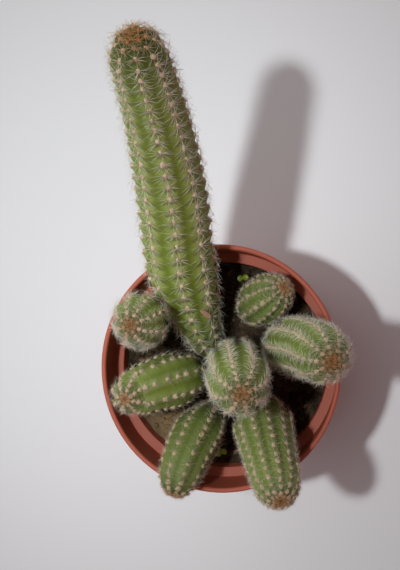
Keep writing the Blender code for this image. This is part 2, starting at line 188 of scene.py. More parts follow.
world = bpy.data.worlds.new("room")
bpy.context.scene.world = world
world.use_nodes = True
tree = world.node_tree
glow = tree.nodes["Background"]
ray = add_node(tree, "ShaderNodeTexCoord")
facing = add_node(tree, "ShaderNodeVectorMath", {1: BRIGHT_SIDE}, {0: ray.outputs["Generated"]},
                  operation="DOT_PRODUCT")
bright = add_node(tree, "ShaderNodeMath", {1: 0.0}, {0: facing.outputs["Value"]},
                  operation="GREATER_THAN")
room = add_node(tree, "ShaderNodeMix", {"A": linear("#A07474"), "B": linear("#FFFFFF")},
                {"Factor": bright.outputs["Value"]}, data_type="RGBA")
sideways = add_node(tree, "ShaderNodeMath", None, {0: facing.outputs["Value"]},
                    operation="ABSOLUTE")
shine = add_node(tree, "ShaderNodeMath", {1: GLOW}, {0: sideways.outputs["Value"]},
                 operation="MULTIPLY")
seen = add_node(tree, "ShaderNodeLightPath")
colour = add_node(tree, "ShaderNodeMix", {"B": linear("#FFFFFF")},
                  {"Factor": seen.outputs["Is Camera Ray"], "A": room.outputs["Result"]},
                  data_type="RGBA")
strength = add_node(tree, "ShaderNodeMix", {"B": BACKDROP},
                    {"Factor": seen.outputs["Is Camera Ray"], "A": shine.outputs["Value"]})
tree.links.new(colour.outputs["Result"], glow.inputs["Color"])
tree.links.new(strength.outputs["Result"], glow.inputs["Strength"])
print("the room's glow uses", len(tree.nodes), "nodes")

# %% [markdown]
# ## Meshes from arrays
#
# A stem, a pot and a crumb of soil are all rings of points stacked along a line and closed by
# one point at each end. One function turns such a stack into faces that point outwards. Shapes
# that repeat hundreds of times are tiled: the same few faces, shifted by the number of points
# in a copy.

# %% Faces for rings of points


def ring_faces(rows, columns):
    """Faces of a closed stack of rings: quads between rings, triangles to the two end points.

    Points are numbered row by row, and the first and last end points come after them."""
    index = np.arange(rows * columns).reshape(rows, columns)
    beside = np.roll(index, -1, axis=1)
    quads = np.stack([index[:-1], beside[:-1], beside[1:], index[1:]], axis=-1).reshape(-1, 4)
    first = np.full(columns, rows * columns)
    start = np.stack([first, beside[0], index[0]], axis=-1)
    end = np.stack([first + 1, index[-1], beside[-1]], axis=-1)
    return quads, np.concatenate([start, end])


def tiled(faces, points, copies):
    """The same faces for each copy, shifted by the number of points that a copy has."""
    shift = np.arange(copies)[:, None, None] * points
    return (faces[None] + shift).reshape(-1, faces.shape[1])


quads, fans = ring_faces(3, 4)
print("three rings of four points close with", len(quads), "quads and", len(fans), "triangles")

# %% [markdown]
# A piece is a mesh with a material. It may also carry a few numbers on each of its points,
# which its material reads. It rides on the plant's only body and tells the frame which of the
# plain pieces it takes the place of.

# %% Make a piece of the plant


def new_mesh(name, points, face_sets):
    """A mesh from points in mm and from arrays of faces."""
    mesh = bpy.data.meshes.new(name)
    faces = [face for face_set in face_sets for face in face_set.tolist()]
    mesh.from_pydata((np.asarray(points) * MM).tolist(), [], faces)
    return mesh


def new_piece(name, points, face_sets, material, attributes=None, replaces=()):
    """A piece that carries the attributes on its points, is shaded smooth and rides on the body."""
    mesh = new_mesh(name, points, face_sets)
    for key, values in (attributes or {}).items():
        layer = mesh.attributes.new(key, "FLOAT", "POINT")
        layer.data.foreach_set("value", np.asarray(values, np.float32).ravel())
    mesh.shade_smooth()
    mesh.materials.append(material)
    dress(new_object(name, mesh), replaces)


def dress(piece, replaces):
    """Hangs a finished piece on the frame and prints how many triangles it has."""
    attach(piece, BODY)
    if replaces:
        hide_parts(*replaces)
    triangles = sum(len(face.vertices) - 2 for face in piece.data.polygons)
    print(piece.name, triangles, "triangles")


print("pieces ride on", BODY)

# %% [markdown]
# ## The pot's wall
#
# The pot is one thin shell of moulded polypropylene: a tapered body, a step out to a wider
# collar, a small lip, and inside the same step again as a ledge. The rim has been pressed
# slightly oval, so the collar gets longer along Y the higher up it is. A few sizes and three
# short formulas hold all of this, and the soil and the spines will ask them for the wall's place.

# %% Measure the pot
_, pot_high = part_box("pot")
POT_HEIGHT = pot_high.z / MM
RIM_RADIUS = pot_high.x / MM
LIP_HEIGHT = 1.1
COLLAR_RADIUS = RIM_RADIUS - 0.3
COLLAR_FOOT_RADIUS = 26.7
COLLAR_FOOT_Z = 39.4
COLLAR_OVAL = 0.037
BODY_TOP_RADIUS = 24.5
BASE_RADIUS = 19.4
WALL = 0.8


def collar_inside(z):
    """Inside radius of the collar at height z: its outer taper less the wall."""
    share = (z - COLLAR_FOOT_Z) / (POT_HEIGHT - COLLAR_FOOT_Z)
    return COLLAR_FOOT_RADIUS + (COLLAR_RADIUS - COLLAR_FOOT_RADIUS) * share - WALL


def body_inside(z):
    """Inside radius of the tapered body at height z."""
    return BASE_RADIUS + (BODY_TOP_RADIUS - BASE_RADIUS) * z / COLLAR_FOOT_Z - WALL


def oval(z):
    """How much longer the collar is along Y at height z: nothing at its foot, all at the rim."""
    share = np.clip((z - COLLAR_FOOT_Z) / (POT_HEIGHT - COLLAR_FOOT_Z), 0.0, 1.0)
    return 1.0 + COLLAR_OVAL * share


ledge_z = COLLAR_FOOT_Z + WALL
lip_z = POT_HEIGHT - LIP_HEIGHT
print("the rim is", round(2 * RIM_RADIUS, 1), "mm across and", round(POT_HEIGHT, 1), "mm high")

# %% [markdown]
# A turned profile is all that the shell needs: a list of corners, each with the radius of the
# arc that rounds it. The corners are true arcs, so that the lip and the ledge catch a thin line
# of light as plastic does.

# %% Draw the pot's profile
FLOOR_THICKNESS = 1.2
CORNER = 0.6
EDGE_ROUND = 0.2
LIP_ROUND = 0.45
ARC_STEPS = 6


def unit(vectors):
    """Each vector divided by its own length."""
    return vectors / np.linalg.norm(vectors, axis=-1, keepdims=True)


def rounded(corners):
    """Each corner (r, z, radius) becomes an arc that touches both of its sides.

    The arc's centre lies on the bisector, radius / sin(half the angle) from the corner."""
    points = np.array([corner[:2] for corner in corners])
    outline = [points[:1]]
    radii = [corner[2] for corner in corners[1:]]
    for before, here, after, radius in zip(points, points[1:], points[2:], radii):
        back, ahead = unit(before - here), unit(after - here)
        half_angle = math.acos(float(back @ ahead)) / 2
        centre = here + unit(back + ahead) * radius / math.sin(half_angle)
        reach = radius / math.tan(half_angle)
        start, end = here + back * reach - centre, here + ahead * reach - centre
        share = np.linspace(0.0, 1.0, ARC_STEPS + 1)[:, None]
        outline.append(centre + unit(start * (1 - share) + end * share) * radius)
    return np.concatenate(outline + [points[-1:]])


pot_outline = rounded([
    (0.0, 0.0, 0.0),
    (BASE_RADIUS, 0.0, CORNER),
    (BODY_TOP_RADIUS, COLLAR_FOOT_Z, CORNER / 2),
    (COLLAR_FOOT_RADIUS, COLLAR_FOOT_Z, CORNER),
    (COLLAR_RADIUS, lip_z, EDGE_ROUND / 2),
    (RIM_RADIUS, lip_z, EDGE_ROUND / 2),
    (RIM_RADIUS, POT_HEIGHT, LIP_ROUND),
    (collar_inside(POT_HEIGHT), POT_HEIGHT, LIP_ROUND),
    (collar_inside(ledge_z), ledge_z, EDGE_ROUND),
    (body_inside(COLLAR_FOOT_Z), ledge_z, EDGE_ROUND),
    (body_inside(FLOOR_THICKNESS), FLOOR_THICKNESS, CORNER),
    (0.0, FLOOR_THICKNESS, 0.0),
])
print("the profile has", len(pot_outline), "points")

# %% [markdown]
# Polypropylene is a slightly waxy plastic, so it shines softly, coloured like terracotta as it
# is. Its surface is not perfectly even: the mould leaves a faint orange-peel, and flow in the
# mould leaves pale and dark clouds some millimetres wide. Noise at those sizes drives the
# colour, the roughness and the bump.

# %% Mix the pot's plastic
CLOUD_MM = 9.0
PEEL_MM = 0.5
PEEL_DEPTH = 0.03
ROUGHEST = 0.68
SMOOTHEST = 0.52

plastic, tree, shader = new_material("moulded_polypropylene", roughness=0.6)
shader.inputs["Specular IOR Level"].default_value = 0.4
place = add_node(tree, "ShaderNodeTexCoord")
clouds = add_node(tree, "ShaderNodeTexNoise", {"Scale": 1 / (CLOUD_MM * MM), "Detail": 4.0},
                  {"Vector": place.outputs["Object"]})
tint = add_node(tree, "ShaderNodeMix", {"A": linear("#A64F3B"), "B": linear("#B86049")},
                {"Factor": clouds.outputs["Fac"]}, data_type="RGBA")
peel = add_node(tree, "ShaderNodeTexNoise", {"Scale": 1 / (PEEL_MM * MM), "Detail": 2.0},
                {"Vector": place.outputs["Object"]})
bump = add_node(tree, "ShaderNodeBump", {"Strength": 0.25, "Distance": PEEL_DEPTH * MM},
                {"Height": peel.outputs["Fac"]})
gloss = add_node(tree, "ShaderNodeMapRange", {"To Min": SMOOTHEST, "To Max": ROUGHEST},
                 {"Value": clouds.outputs["Fac"]})
tree.links.new(tint.outputs["Result"], shader.inputs["Base Color"])
tree.links.new(gloss.outputs["Result"], shader.inputs["Roughness"])
tree.links.new(bump.outputs["Normal"], shader.inputs["Normal"])
print("plastic uses", len(tree.nodes), "nodes")

# %% [markdown]
# The profile is now carried round the pot's axis. Doing that by hand, as an array of rings,
# keeps the points in order, and the oval is then one product over the whole array.

# %% Turn the pot
POT_SIDES = 144


def turned(outline, sides):
    """The outline (r, z) carried round the Z axis: x = r cos a, y = r sin a."""
    angle = np.linspace(0.0, math.tau, sides, endpoint=False)[None, :]
    r, z = outline[:, :1], outline[:, 1:]
    return np.stack([r * np.cos(angle), r * np.sin(angle), z + 0 * angle], axis=-1)


rings = turned(pot_outline[1:-1], POT_SIDES)
rings[..., 1] *= oval(rings[..., 2])
pot_ends = [(0.0, 0.0, 0.0), (0.0, 0.0, FLOOR_THICKNESS)]
pot_points = np.concatenate([rings.reshape(-1, 3), pot_ends])
pot_shell = new_object("pot_shell",
                       new_mesh("pot_shell", pot_points, ring_faces(*rings.shape[:2])))
print("the pot has", len(pot_points), "points")

# %% [markdown]
# The pot drains through four round holes in its floor. They are cut with a Boolean, which is
# then applied: only the cut mesh stays, and the cutting rods are removed.

# %% Cut the drain holes
DRAIN_HOLES = 4
DRAIN_RADIUS = 2.6
DRAIN_CIRCLE = 12.0
DRAIN_SIDES = 32
SHARP_ANGLE = math.radians(40)

rod_ends = [(0.0, 0.0, -FLOOR_THICKNESS), (0.0, 0.0, 2 * FLOOR_THICKNESS)]
rod_rings = turned(np.array([(DRAIN_RADIUS, z) for _, _, z in rod_ends]), DRAIN_SIDES)
for k in range(DRAIN_HOLES):
    turn = math.tau * (k + 0.5) / DRAIN_HOLES
    centre = np.array([math.cos(turn), math.sin(turn), 0.0]) * DRAIN_CIRCLE
    rod_points = np.concatenate([rod_rings.reshape(-1, 3), rod_ends]) + centre
    rod = new_object("rod", new_mesh("rod", rod_points, ring_faces(2, DRAIN_SIDES)))
    cut = pot_shell.modifiers.new("cut", "BOOLEAN")
    cut.operation = "DIFFERENCE"
    cut.object = rod
    cut.solver = "EXACT"
cut_pot = pot_shell.evaluated_get(bpy.context.evaluated_depsgraph_get())
pot_mesh = bpy.data.meshes.new_from_object(cut_pot)
for cut in list(pot_shell.modifiers):
    bpy.data.objects.remove(cut.object)
    pot_shell.modifiers.remove(cut)
pot_shell.data = pot_mesh
pot_mesh.shade_smooth()
pot_mesh.set_sharp_from_angle(angle=SHARP_ANGLE)
pot_mesh.materials.append(plastic)
dress(pot_shell, ["pot"])

# %% [markdown]
# ## The stems' shape
#
# A peanut cactus grows soft, finger-like stems. Each one starts thin in the soil, swells, and
# ends in a rounded tip. Its axis is a smooth curve through a few points, its outline a radius
# that changes along the axis, and both are the same as in the imported model, so the fine stem
# fills the space of the faceted one.
#
# One table holds all that differs from stem to stem. Neck, body and tip are radii, and swell
# and hold the lengths over which the stem widens and stays wide. Turn is where the first rib
# lies, in radians, notch how deep the tubercles are pinched, and pitch and crowd how far apart
# the areoles stand and how far down from the tip they are crowded. Rust is how far down the tip
# looks young and how far its painted shade reaches. The darkness is how much duller and darker
# the green is painted, partly as painted shade. Pad is the size of the wool, and spine a length
# and a radius.

# %% The stems' routes, radii and growth, in mm
STEMS = {
    "stem_tall": dict(
        route=[(-4.2, 5.2, 33.9), (-4.3, 5.6, 38.5), (-5.7, 11.1, 47.3), (-7.7, 23.9, 59.2),
               (-7.5, 42.1, 76.8), (-7.8, 57.7, 96.2), (-9.2, 76.2, 122.8)],
        neck=4.0, body=7.8, tip=6.1, swell=32.0, hold=23.0,
        ribs=8, turn=0.21, notch=0.13, pitch=4.25, crowd=12.0,
        rust=6.2, dull_and_shaded=0.0, pad=1.12, spine=(3.5, 0.05)),
    "stem_centre": dict(
        route=[(3.2, -1.4, 33.9), (3.2, -1.2, 38.5), (3.3, 0.2, 50.0), (5.7, 0.4, 66.0),
               (9.0, -1.6, 87.5)],
        neck=2.9, body=6.8, tip=6.4, swell=20.0, hold=0.0,
        ribs=8, turn=0.31, notch=0.1, pitch=2.9, crowd=7.0,
        rust=3.2, dull_and_shaded=0.2, pad=1.0, spine=(2.7, 0.038)),
    "stem_right": dict(
        route=[(11.0, 4.2, 33.9), (11.4, 4.3, 38.5), (15.0, 5.2, 48.0), (20.0, 6.1, 60.0),
               (24.0, 6.3, 71.0), (28.4, 5.2, 83.5)],
        neck=2.9, body=6.6, tip=6.2, swell=19.0, hold=0.0,
        ribs=9, turn=0.37, notch=0.1, pitch=2.8, crowd=7.0,
        rust=3.6, dull_and_shaded=0.25, pad=1.0, spine=(2.7, 0.038)),
    "stem_front_right": dict(
        route=[(7.6, -9.6, 33.9), (7.8, -9.9, 38.5), (9.9, -13.3, 50.6), (12.6, -18.6, 62.0),
               (16.2, -27.0, 74.5)],
        neck=2.9, body=6.8, tip=5.0, swell=14.0, hold=0.0,
        ribs=11, turn=0.37, notch=0.05, pitch=3.1, crowd=9.0,
        rust=2.6, dull_and_shaded=0.5, pad=1.05, spine=(2.5, 0.022)),
    "stem_front_left": dict(
        route=[(-2.6, -10.4, 33.9), (-2.9, -10.8, 38.0), (-4.9, -14.0, 46.6), (-7.8, -20.8, 55.2),
               (-10.2, -28.3, 58.0)],
        neck=2.7, body=5.8, tip=4.5, swell=14.0, hold=0.0,
        ribs=8, turn=0.11, notch=0.05, pitch=2.15, crowd=4.0,
        rust=2.6, dull_and_shaded=0.85, pad=1.1, spine=(2.4, 0.018)),
    "stem_left": dict(
        route=[(-7.8, -2.4, 33.9), (-7.9, -2.4, 39.0), (-9.0, -2.2, 47.3), (-14.4, -3.4, 53.2),
               (-19.4, -5.2, 56.0), (-20.7, -6.0, 60.4)],
        neck=2.8, body=6.2, tip=4.8, swell=15.0, hold=0.0,
        ribs=8, turn=0.37, notch=0.05, pitch=2.25, crowd=6.0,
        rust=1.8, dull_and_shaded=0.35, pad=1.05, spine=(2.4, 0.018)),
    "stem_back_left": dict(
        route=[(-16.8, 7.3, 33.9), (-16.9, 7.4, 39.0), (-17.7, 9.0, 50.0), (-17.2, 11.0, 59.0),
               (-15.9, 12.8, 67.5), (-17.2, 12.2, 75.5)],
        neck=2.8, body=6.0, tip=6.1, swell=30.0, hold=0.0,
        ribs=8, turn=0.37, notch=0.1, pitch=2.5, crowd=6.0,
        rust=2.6, dull_and_shaded=0.1, pad=0.95, spine=(2.7, 0.032)),
    "stem_back_right": dict(
        route=[(5.5, 11.9, 33.9), (5.7, 12.1, 37.6), (8.0, 14.4, 43.8), (15.0, 19.0, 52.2)],
        neck=2.6, body=5.4, tip=5.2, swell=10.0, hold=0.0,
        ribs=10, turn=0.09, notch=0.05, pitch=2.5, crowd=6.0,
        rust=2.0, dull_and_shaded=0.7, pad=1.05, spine=(2.2, 0.022)),
}
print(len(STEMS), "stems")

# %% [markdown]
# A stem's points are joined by a Catmull-Rom curve, which runs through every one of them. To
# put ribs round it, each place on the curve also needs two directions across it. They are
# carried along from the foot and only bent, never twisted, so the ribs run straight up the stem
# however it leans.

# %% Follow a route
ROUTE_STEPS = 160
AXIS_SAMPLES = 600


def smooth_route(points):
    """A Catmull-Rom curve through the points, with knots the square root of the spacing apart.

    Its samples crowd towards the apex, where the outline closes quickly."""
    points = np.array(points, float)
    ghost = np.vstack([2 * points[0] - points[1], points, 2 * points[-1] - points[-2]])
    gaps = np.linalg.norm(np.diff(ghost, axis=0), axis=1)
    knots = np.concatenate([[0.0], np.cumsum(np.sqrt(gaps))])
    pieces = []
    for k in range(1, len(ghost) - 2):
        t = np.linspace(knots[k], knots[k + 1], ROUTE_STEPS, endpoint=False)[:, None]
        t0, t1, t2, t3 = knots[k - 1:k + 3]
        p0, p1, p2, p3 = ghost[k - 1:k + 3]
        a1 = (t1 - t) / (t1 - t0) * p0 + (t - t0) / (t1 - t0) * p1
        a2 = (t2 - t) / (t2 - t1) * p1 + (t - t1) / (t2 - t1) * p2
        a3 = (t3 - t) / (t3 - t2) * p2 + (t - t2) / (t3 - t2) * p3
        b1 = (t2 - t) / (t2 - t0) * a1 + (t - t0) / (t2 - t0) * a2
        b2 = (t3 - t) / (t3 - t1) * a2 + (t - t1) / (t3 - t1) * a3
        pieces.append((t2 - t) / (t2 - t1) * b1 + (t - t1) / (t2 - t1) * b2)
    fine = np.vstack(pieces + [ghost[-2:-1]])
    along = np.concatenate([[0.0], np.cumsum(np.linalg.norm(np.diff(fine, axis=0), axis=1))])
    s = along[-1] * (1.0 - np.linspace(1.0, 0.0, AXIS_SAMPLES) ** 2)
    curve = np.stack([np.interp(s, along, fine[:, k]) for k in range(3)], axis=1)
    return s, curve, unit(np.gradient(curve, s, axis=0))


def carried_frame(tangents):
    """Two directions across the curve: each step only drops what now points along it."""
    side = np.zeros_like(tangents)
    now = np.array([1.0, 0.0, 0.0])
    for k, tangent in enumerate(tangents):
        now = unit(now - tangent * (now @ tangent))
        side[k] = now
    return side, np.cross(tangents, side)


tall_s, _, tall_tangent = smooth_route(STEMS["stem_tall"]["route"])
print("the tall stem's axis is", round(tall_s[-1], 1), "mm long and bends by",
      round(math.degrees(math.acos(tall_tangent[0] @ tall_tangent[-1]))), "degrees")

# %% [markdown]
# The outline closes in an ellipse at the tip, where the radius falls fast and the axis hardly
# moves on. So places on a stem are given by the length along its outline and not along its
# axis: rows that are evenly spaced that way stay even right over the tip.

# %% Give each stem its outline
HOLE_DEPTH = 3.2
CAP_STRETCH = 1.5
AXIS_STRIDE = 5


class Stem:
    """A stem's axis, the frame carried along it and the radius of its outline."""

    def __init__(self, name, spec):
        self.name = name
        self.spec = spec
        self.s, self.axis, self.tangent = smooth_route(spec["route"])
        self.side, self.across = carried_frame(self.tangent)
        self.radius = self.outline()
        steps = np.hypot(np.diff(self.s), np.diff(self.radius))
        self.m = np.concatenate([[0.0], np.cumsum(steps)])
        self.length = self.m[-1]

    def outline(self):
        """A smooth step from neck to body, a straight taper to the tip, and an elliptic end.

        The body keeps its radius over the hold before the taper starts."""
        neck, body, tip, swell = (self.spec[key] for key in ("neck", "body", "tip", "swell"))
        full = HOLE_DEPTH + swell + self.spec["hold"]
        grow = np.clip((self.s - HOLE_DEPTH) / swell, 0.0, 1.0)
        rest = np.clip((self.s - full) / (self.s[-1] - full), 0.0, 1.0)
        plain = neck + (body - neck) * grow * grow * (3 - 2 * grow) + (tip - body) * rest
        over = np.clip((self.s - self.s[-1]) / (tip * CAP_STRETCH) + 1.0, 0.0, 1.0)
        return plain * np.sqrt(1.0 - over ** 2)

    def read(self, values, m):
        """What is kept along the axis, read at the outline lengths m."""
        s = np.interp(m, self.m, self.s)
        if values.ndim == 1:
            return np.interp(s, self.s, values)
        return np.stack([np.interp(s, self.s, values[:, k]) for k in range(3)], axis=-1)

    def distance(self, points):
        """Distance from each point to the outline's surface, less than 0 inside it."""
        axis, radius = self.axis[::AXIS_STRIDE], self.radius[::AXIS_STRIDE]
        apart = np.linalg.norm(points[..., None, :] - axis, axis=-1)
        return (apart - radius).min(axis=-1)


stems = [Stem(name, spec) for name, spec in STEMS.items()]
for stem in stems:
    print(stem.name, round(stem.length, 1), "mm along its outline")

# %% [markdown]
# ## Ribs and tubercles
#
# Eight or more low ribs run up each stem, and every rib is a row of swellings, the tubercles. A
# tubercle bulges just below its areole, the woolly cushion that bears the spines, and is
# pinched just above it. Seen from the side this makes a scalloped edge. Areoles of
# neighbouring ribs stand half a step apart, and they crowd together at the tip, where they are
# still being made. So the first formula counts them, down from the apex, and the next areole
# stands wherever the count has grown by one.

# %% Count the areoles along a rib
RIB_START = 1.0
RIB_FADE = 6.0
CROWN_PITCH = 0.36


def areole_count(stem, down):
    """How many areoles of a rib lie within the length down from the apex.

    The spacing is the pitch x (1 - (1 - crown share) x exp(-down / crowd)). Adding up its
    inverse gives a logarithm."""
    pitch, crowd = stem.spec["pitch"], stem.spec["crowd"]
    lost = 1 - CROWN_PITCH
    return (down + crowd * (np.log1p(-lost * np.exp(-down / crowd)) - math.log1p(-lost))) / pitch


def relief(stem, m):
    """How far the ribs stand out: nothing in the soil, full on the body."""
    return np.clip((stem.read(stem.s, m) - HOLE_DEPTH - RIB_START) / RIB_FADE, 0.0, 1.0)


print("areoles on a rib of the tall stem:", int(areole_count(stems[0], stems[0].length)))

# %% [markdown]
# The relief is one factor on the radius. Across a rib it follows the size of a cosine, which
# is round on the crest and narrow in the valley. Along a rib it follows the same kind of wave,
# and that wave fades out in the valleys, where the two half-step patterns meet.

# %% The skin as a function of length and angle
VALLEY_DEPTH = 0.12
VALLEY_SOFTNESS = 0.3
NOTCH_SOFTNESS = 0.15
AREOLE_ABOVE_BULGE = 0.17
FIRST_AREOLE = 0.6
CROWN_ZONE = 9.0
APEX_DIMPLE = 0.5
APEX_DIMPLE_WIDTH = 1.3


def round_wave(turns, softness):
    """The size of cos(pi turns), from 0 to 1, with its sharp zero softened into a small curve."""
    wave = np.sqrt(np.cos(math.pi * turns) ** 2 + softness ** 2)
    return (wave - softness) / (math.sqrt(1 + softness ** 2) - softness)


def skin(stem, m, angle):
    """The point at outline length m and at an angle from the first crest, and its crest share.

    The radius is the outline's times 1 - valley x (1 - rib wave) - notch x crest x (1 - bulge
    wave), and a bell-shaped dimple draws the apex in along the axis."""
    m, angle = np.broadcast_arrays(m, angle)
    down = stem.length - m
    ribs = stem.spec["ribs"]
    rib = np.rint(angle * ribs / math.tau) % ribs
    crest = 0.5 + 0.5 * np.cos(ribs * angle)
    ridge = round_wave(angle * ribs / math.tau, VALLEY_SOFTNESS)
    step = areole_count(stem, down) - FIRST_AREOLE - 0.5 * (rib % 2)
    bulge = round_wave(step - AREOLE_ABOVE_BULGE, NOTCH_SOFTNESS)
    shape = VALLEY_DEPTH * (1 - ridge) + stem.spec["notch"] * crest * (1 - bulge)
    radius = stem.read(stem.radius, m) * (1 - relief(stem, m) * shape)
    heading = angle + stem.spec["turn"]
    out = np.cos(heading)[..., None] * stem.read(stem.side, m)
    out = out + np.sin(heading)[..., None] * stem.read(stem.across, m)
    dimple = APEX_DIMPLE * np.exp(-(radius / APEX_DIMPLE_WIDTH) ** 2) * (down < CROWN_ZONE)
    point = stem.read(stem.axis, m) + radius[..., None] * unit(out)
    return point - dimple[..., None] * stem.read(stem.tangent, m), ridge


_, crests = skin(stems[0], stems[0].length / 2, np.linspace(0.0, math.tau, AXIS_SAMPLES))
print("crest share round the tall stem:", crests.min().round(2), "to", crests.max().round(2))

# %% [markdown]
# The skin is a waxy, leathery green, so it has a dull shine. It is most saturated in the
# valleys, and greyer and paler on the ribs, where the wax and the fine wool are. The tip is
# painted darker, partly the deeper green of young growth and partly painted shade between its
# crowded cushions of wool, darkest in its valleys. The oldest skin, just above the soil, turns
# yellowish and corky. The mesh carries those three amounts as attributes, so that the colours
# follow the ribs however a stem bends. A fourth one, the same all over a stem, paints some of the
# stems a darker, duller green than others: partly their own green, partly painted shade on the
# stems that get less light.

# %% Mix the stems' skin
MOTTLE_MM = 2.2
MOTTLE_SHARE = 0.35
RIDGE_SHARE = 0.75
PORE_MM = 0.3
PORE_DEPTH = 0.05

skin_wax, tree, shader = new_material("cactus_epidermis", roughness=0.6)
shader.inputs["Specular IOR Level"].default_value = 0.35
place = add_node(tree, "ShaderNodeTexCoord")
ridge_value, young_value, old_value, dull_and_shaded_value = (
    add_node(tree, "ShaderNodeAttribute", attribute_name=name)
    for name in ("ridge", "young", "old", "dull_and_shaded"))
mottle = add_node(tree, "ShaderNodeTexNoise", {"Scale": 1 / (MOTTLE_MM * MM), "Detail": 5.0},
                  {"Vector": place.outputs["Object"]})
patchy = add_node(tree, "ShaderNodeMath", {1: MOTTLE_SHARE}, {0: mottle.outputs["Fac"]},
                  operation="MULTIPLY")
ridge_part = add_node(tree, "ShaderNodeMath", {1: RIDGE_SHARE}, {0: ridge_value.outputs["Fac"]},
                      operation="MULTIPLY")
pale = add_node(tree, "ShaderNodeMath", None,
                {0: ridge_part.outputs["Value"], 1: patchy.outputs["Value"]}, operation="ADD",
                use_clamp=True)
green = add_node(tree, "ShaderNodeMix", {"A": linear("#74881C"), "B": linear("#9AA25E")},
                 {"Factor": pale.outputs["Value"]}, data_type="RGBA")
# Partly painted shade: stems that get less light are painted darker and duller.
deep_and_shaded = add_node(tree, "ShaderNodeMix", {"B": linear("#647036")},
                {"Factor": dull_and_shaded_value.outputs["Fac"], "A": green.outputs["Result"]},
                data_type="RGBA")
# Painted shade: the tip darkens to these greens, darkest in its valleys, between crowded cushions.
shaded_bud = add_node(tree, "ShaderNodeMix", {"A": linear("#1E2A0C"), "B": linear("#384A1A")},
               {"Factor": ridge_value.outputs["Fac"]}, data_type="RGBA")
fresh_and_shaded = add_node(tree, "ShaderNodeMix", None,
                 {"Factor": young_value.outputs["Fac"], "A": deep_and_shaded.outputs["Result"],
                  "B": shaded_bud.outputs["Result"]}, data_type="RGBA")
corky = add_node(tree, "ShaderNodeMix", {"B": linear("#85784A")},
                 {"Factor": old_value.outputs["Fac"], "A": fresh_and_shaded.outputs["Result"]},
                 data_type="RGBA")
pores = add_node(tree, "ShaderNodeTexVoronoi", {"Scale": 1 / (PORE_MM * MM)},
                 {"Vector": place.outputs["Object"]})
bump = add_node(tree, "ShaderNodeBump", {"Strength": 0.3, "Distance": PORE_DEPTH * MM},
                {"Height": pores.outputs["Distance"]})
tree.links.new(corky.outputs["Result"], shader.inputs["Base Color"])
tree.links.new(bump.outputs["Normal"], shader.inputs["Normal"])
print("skin uses", len(tree.nodes), "nodes")

# %% [markdown]
# A skin is one grid of points, with closely spaced rows and a dozen columns to a rib, enough to
# draw the crest round and the valley narrow. One point at the foot and one at the apex close it.

# %% Grow the skins
ROW_STEP = 0.4
COLUMNS_PER_RIB = 12
OLD_ZONE = 12.0
BUD_AND_SHADE_REACH = 1.8

for stem in stems:
    rows = int(stem.length / ROW_STEP)
    m = np.linspace(0.0, stem.length, rows + 2)[1:-1, None]
    columns = stem.spec["ribs"] * COLUMNS_PER_RIB
    angle = np.linspace(0.0, math.tau, columns, endpoint=False)[None, :]
    points, ridge = skin(stem, m, angle)
    foot = stem.axis[:1]
    apex = stem.axis[-1:] - APEX_DIMPLE * stem.tangent[-1:]
    # How far down the tip is painted darker: partly young growth, partly painted shade.
    young = np.exp(-((stem.length - m) / (BUD_AND_SHADE_REACH * stem.spec["rust"])) ** 2) + 0 * angle
    old = np.clip(1.0 - (m - HOLE_DEPTH) / OLD_ZONE, 0.0, 1.0) ** 2 + 0 * angle
    new_piece(stem.name.replace("stem_", "skin_"),
              np.concatenate([points.reshape(-1, 3), foot, apex]),
              ring_faces(*points.shape[:2]), skin_wax,
              {"ridge": np.append(ridge, [0.0, 0.0]), "young": np.append(young, [0.0, 1.0]),
               "old": np.append(old, [1.0, 0.0]),
               "dull_and_shaded": np.full(points[..., 0].size + 2, stem.spec["dull_and_shaded"])},
              [stem.name])

# %% [markdown]
# ## Areoles
#
# An areole is a cushion of short, felted wool about a millimetre across, on the crest of a rib.
# To set it straight, the surface itself is asked for its slope there: two tiny steps along and
# around give the direction up the rib and the one out of the skin.

# %% Find the areoles and their directions
COUNT_STEPS = 2000
LEAST_RELIEF = 0.25
AREOLE_JITTER = 0.12
TINY_STEP = 0.05
GROWTH_SEED = 12


def areole_sites(stem, rng):
    """The places on each rib where the count of areoles has grown by one, and the frame there.

    Where the ribs have hardly begun, just above the soil, there are none."""
    table = np.linspace(0.0, stem.length, COUNT_STEPS)
    counts = areole_count(stem, table)
    m, angle = [], []
    for rib in range(stem.spec["ribs"]):
        wanted = np.arange(FIRST_AREOLE + 0.5 * (rib % 2), counts[-1])
        m.append(stem.length - np.interp(wanted, counts, table))
        angle.append(np.full(len(wanted), rib * math.tau / stem.spec["ribs"]))
    m, angle = np.concatenate(m), np.concatenate(angle)
    keep = relief(stem, m) > LEAST_RELIEF
    m, angle = m[keep], angle[keep]
    crowd = np.clip((stem.length - m) / CROWN_ZONE, 0.0, 1.0)
    m = m + rng.normal(0.0, AREOLE_JITTER, len(m)) * crowd
    point = skin(stem, m, angle)[0]
    up = unit(skin(stem, m + TINY_STEP, angle)[0] - skin(stem, m - TINY_STEP, angle)[0])
    around = unit(skin(stem, m, angle + TINY_STEP)[0] - skin(stem, m, angle - TINY_STEP)[0])
    out = unit(np.cross(around, up))
    return {"m": m, "point": point, "up": up, "out": out, "side": np.cross(up, out),
            "crowd": crowd}


rng = np.random.default_rng(GROWTH_SEED)
sites = {stem.name: areole_sites(stem, rng) for stem in stems}
print("areoles in all:", sum(len(site["m"]) for site in sites.values()))

# %% [markdown]
# ## Wool
#
# The hairs of the wool, the spines and the fibres in the soil are all the same thing: a thin
# cone with a slight curve. Each has three sides and a ring halfway, ten triangles in all.
# Thousands of them fit in one mesh, because the whole set is worked out as one array.

# %% Hairs and spines as arrays
CONE_SIDES = 3
CONE_RINGS = (0.0, 0.5)
OFF_AXIS = 0.3


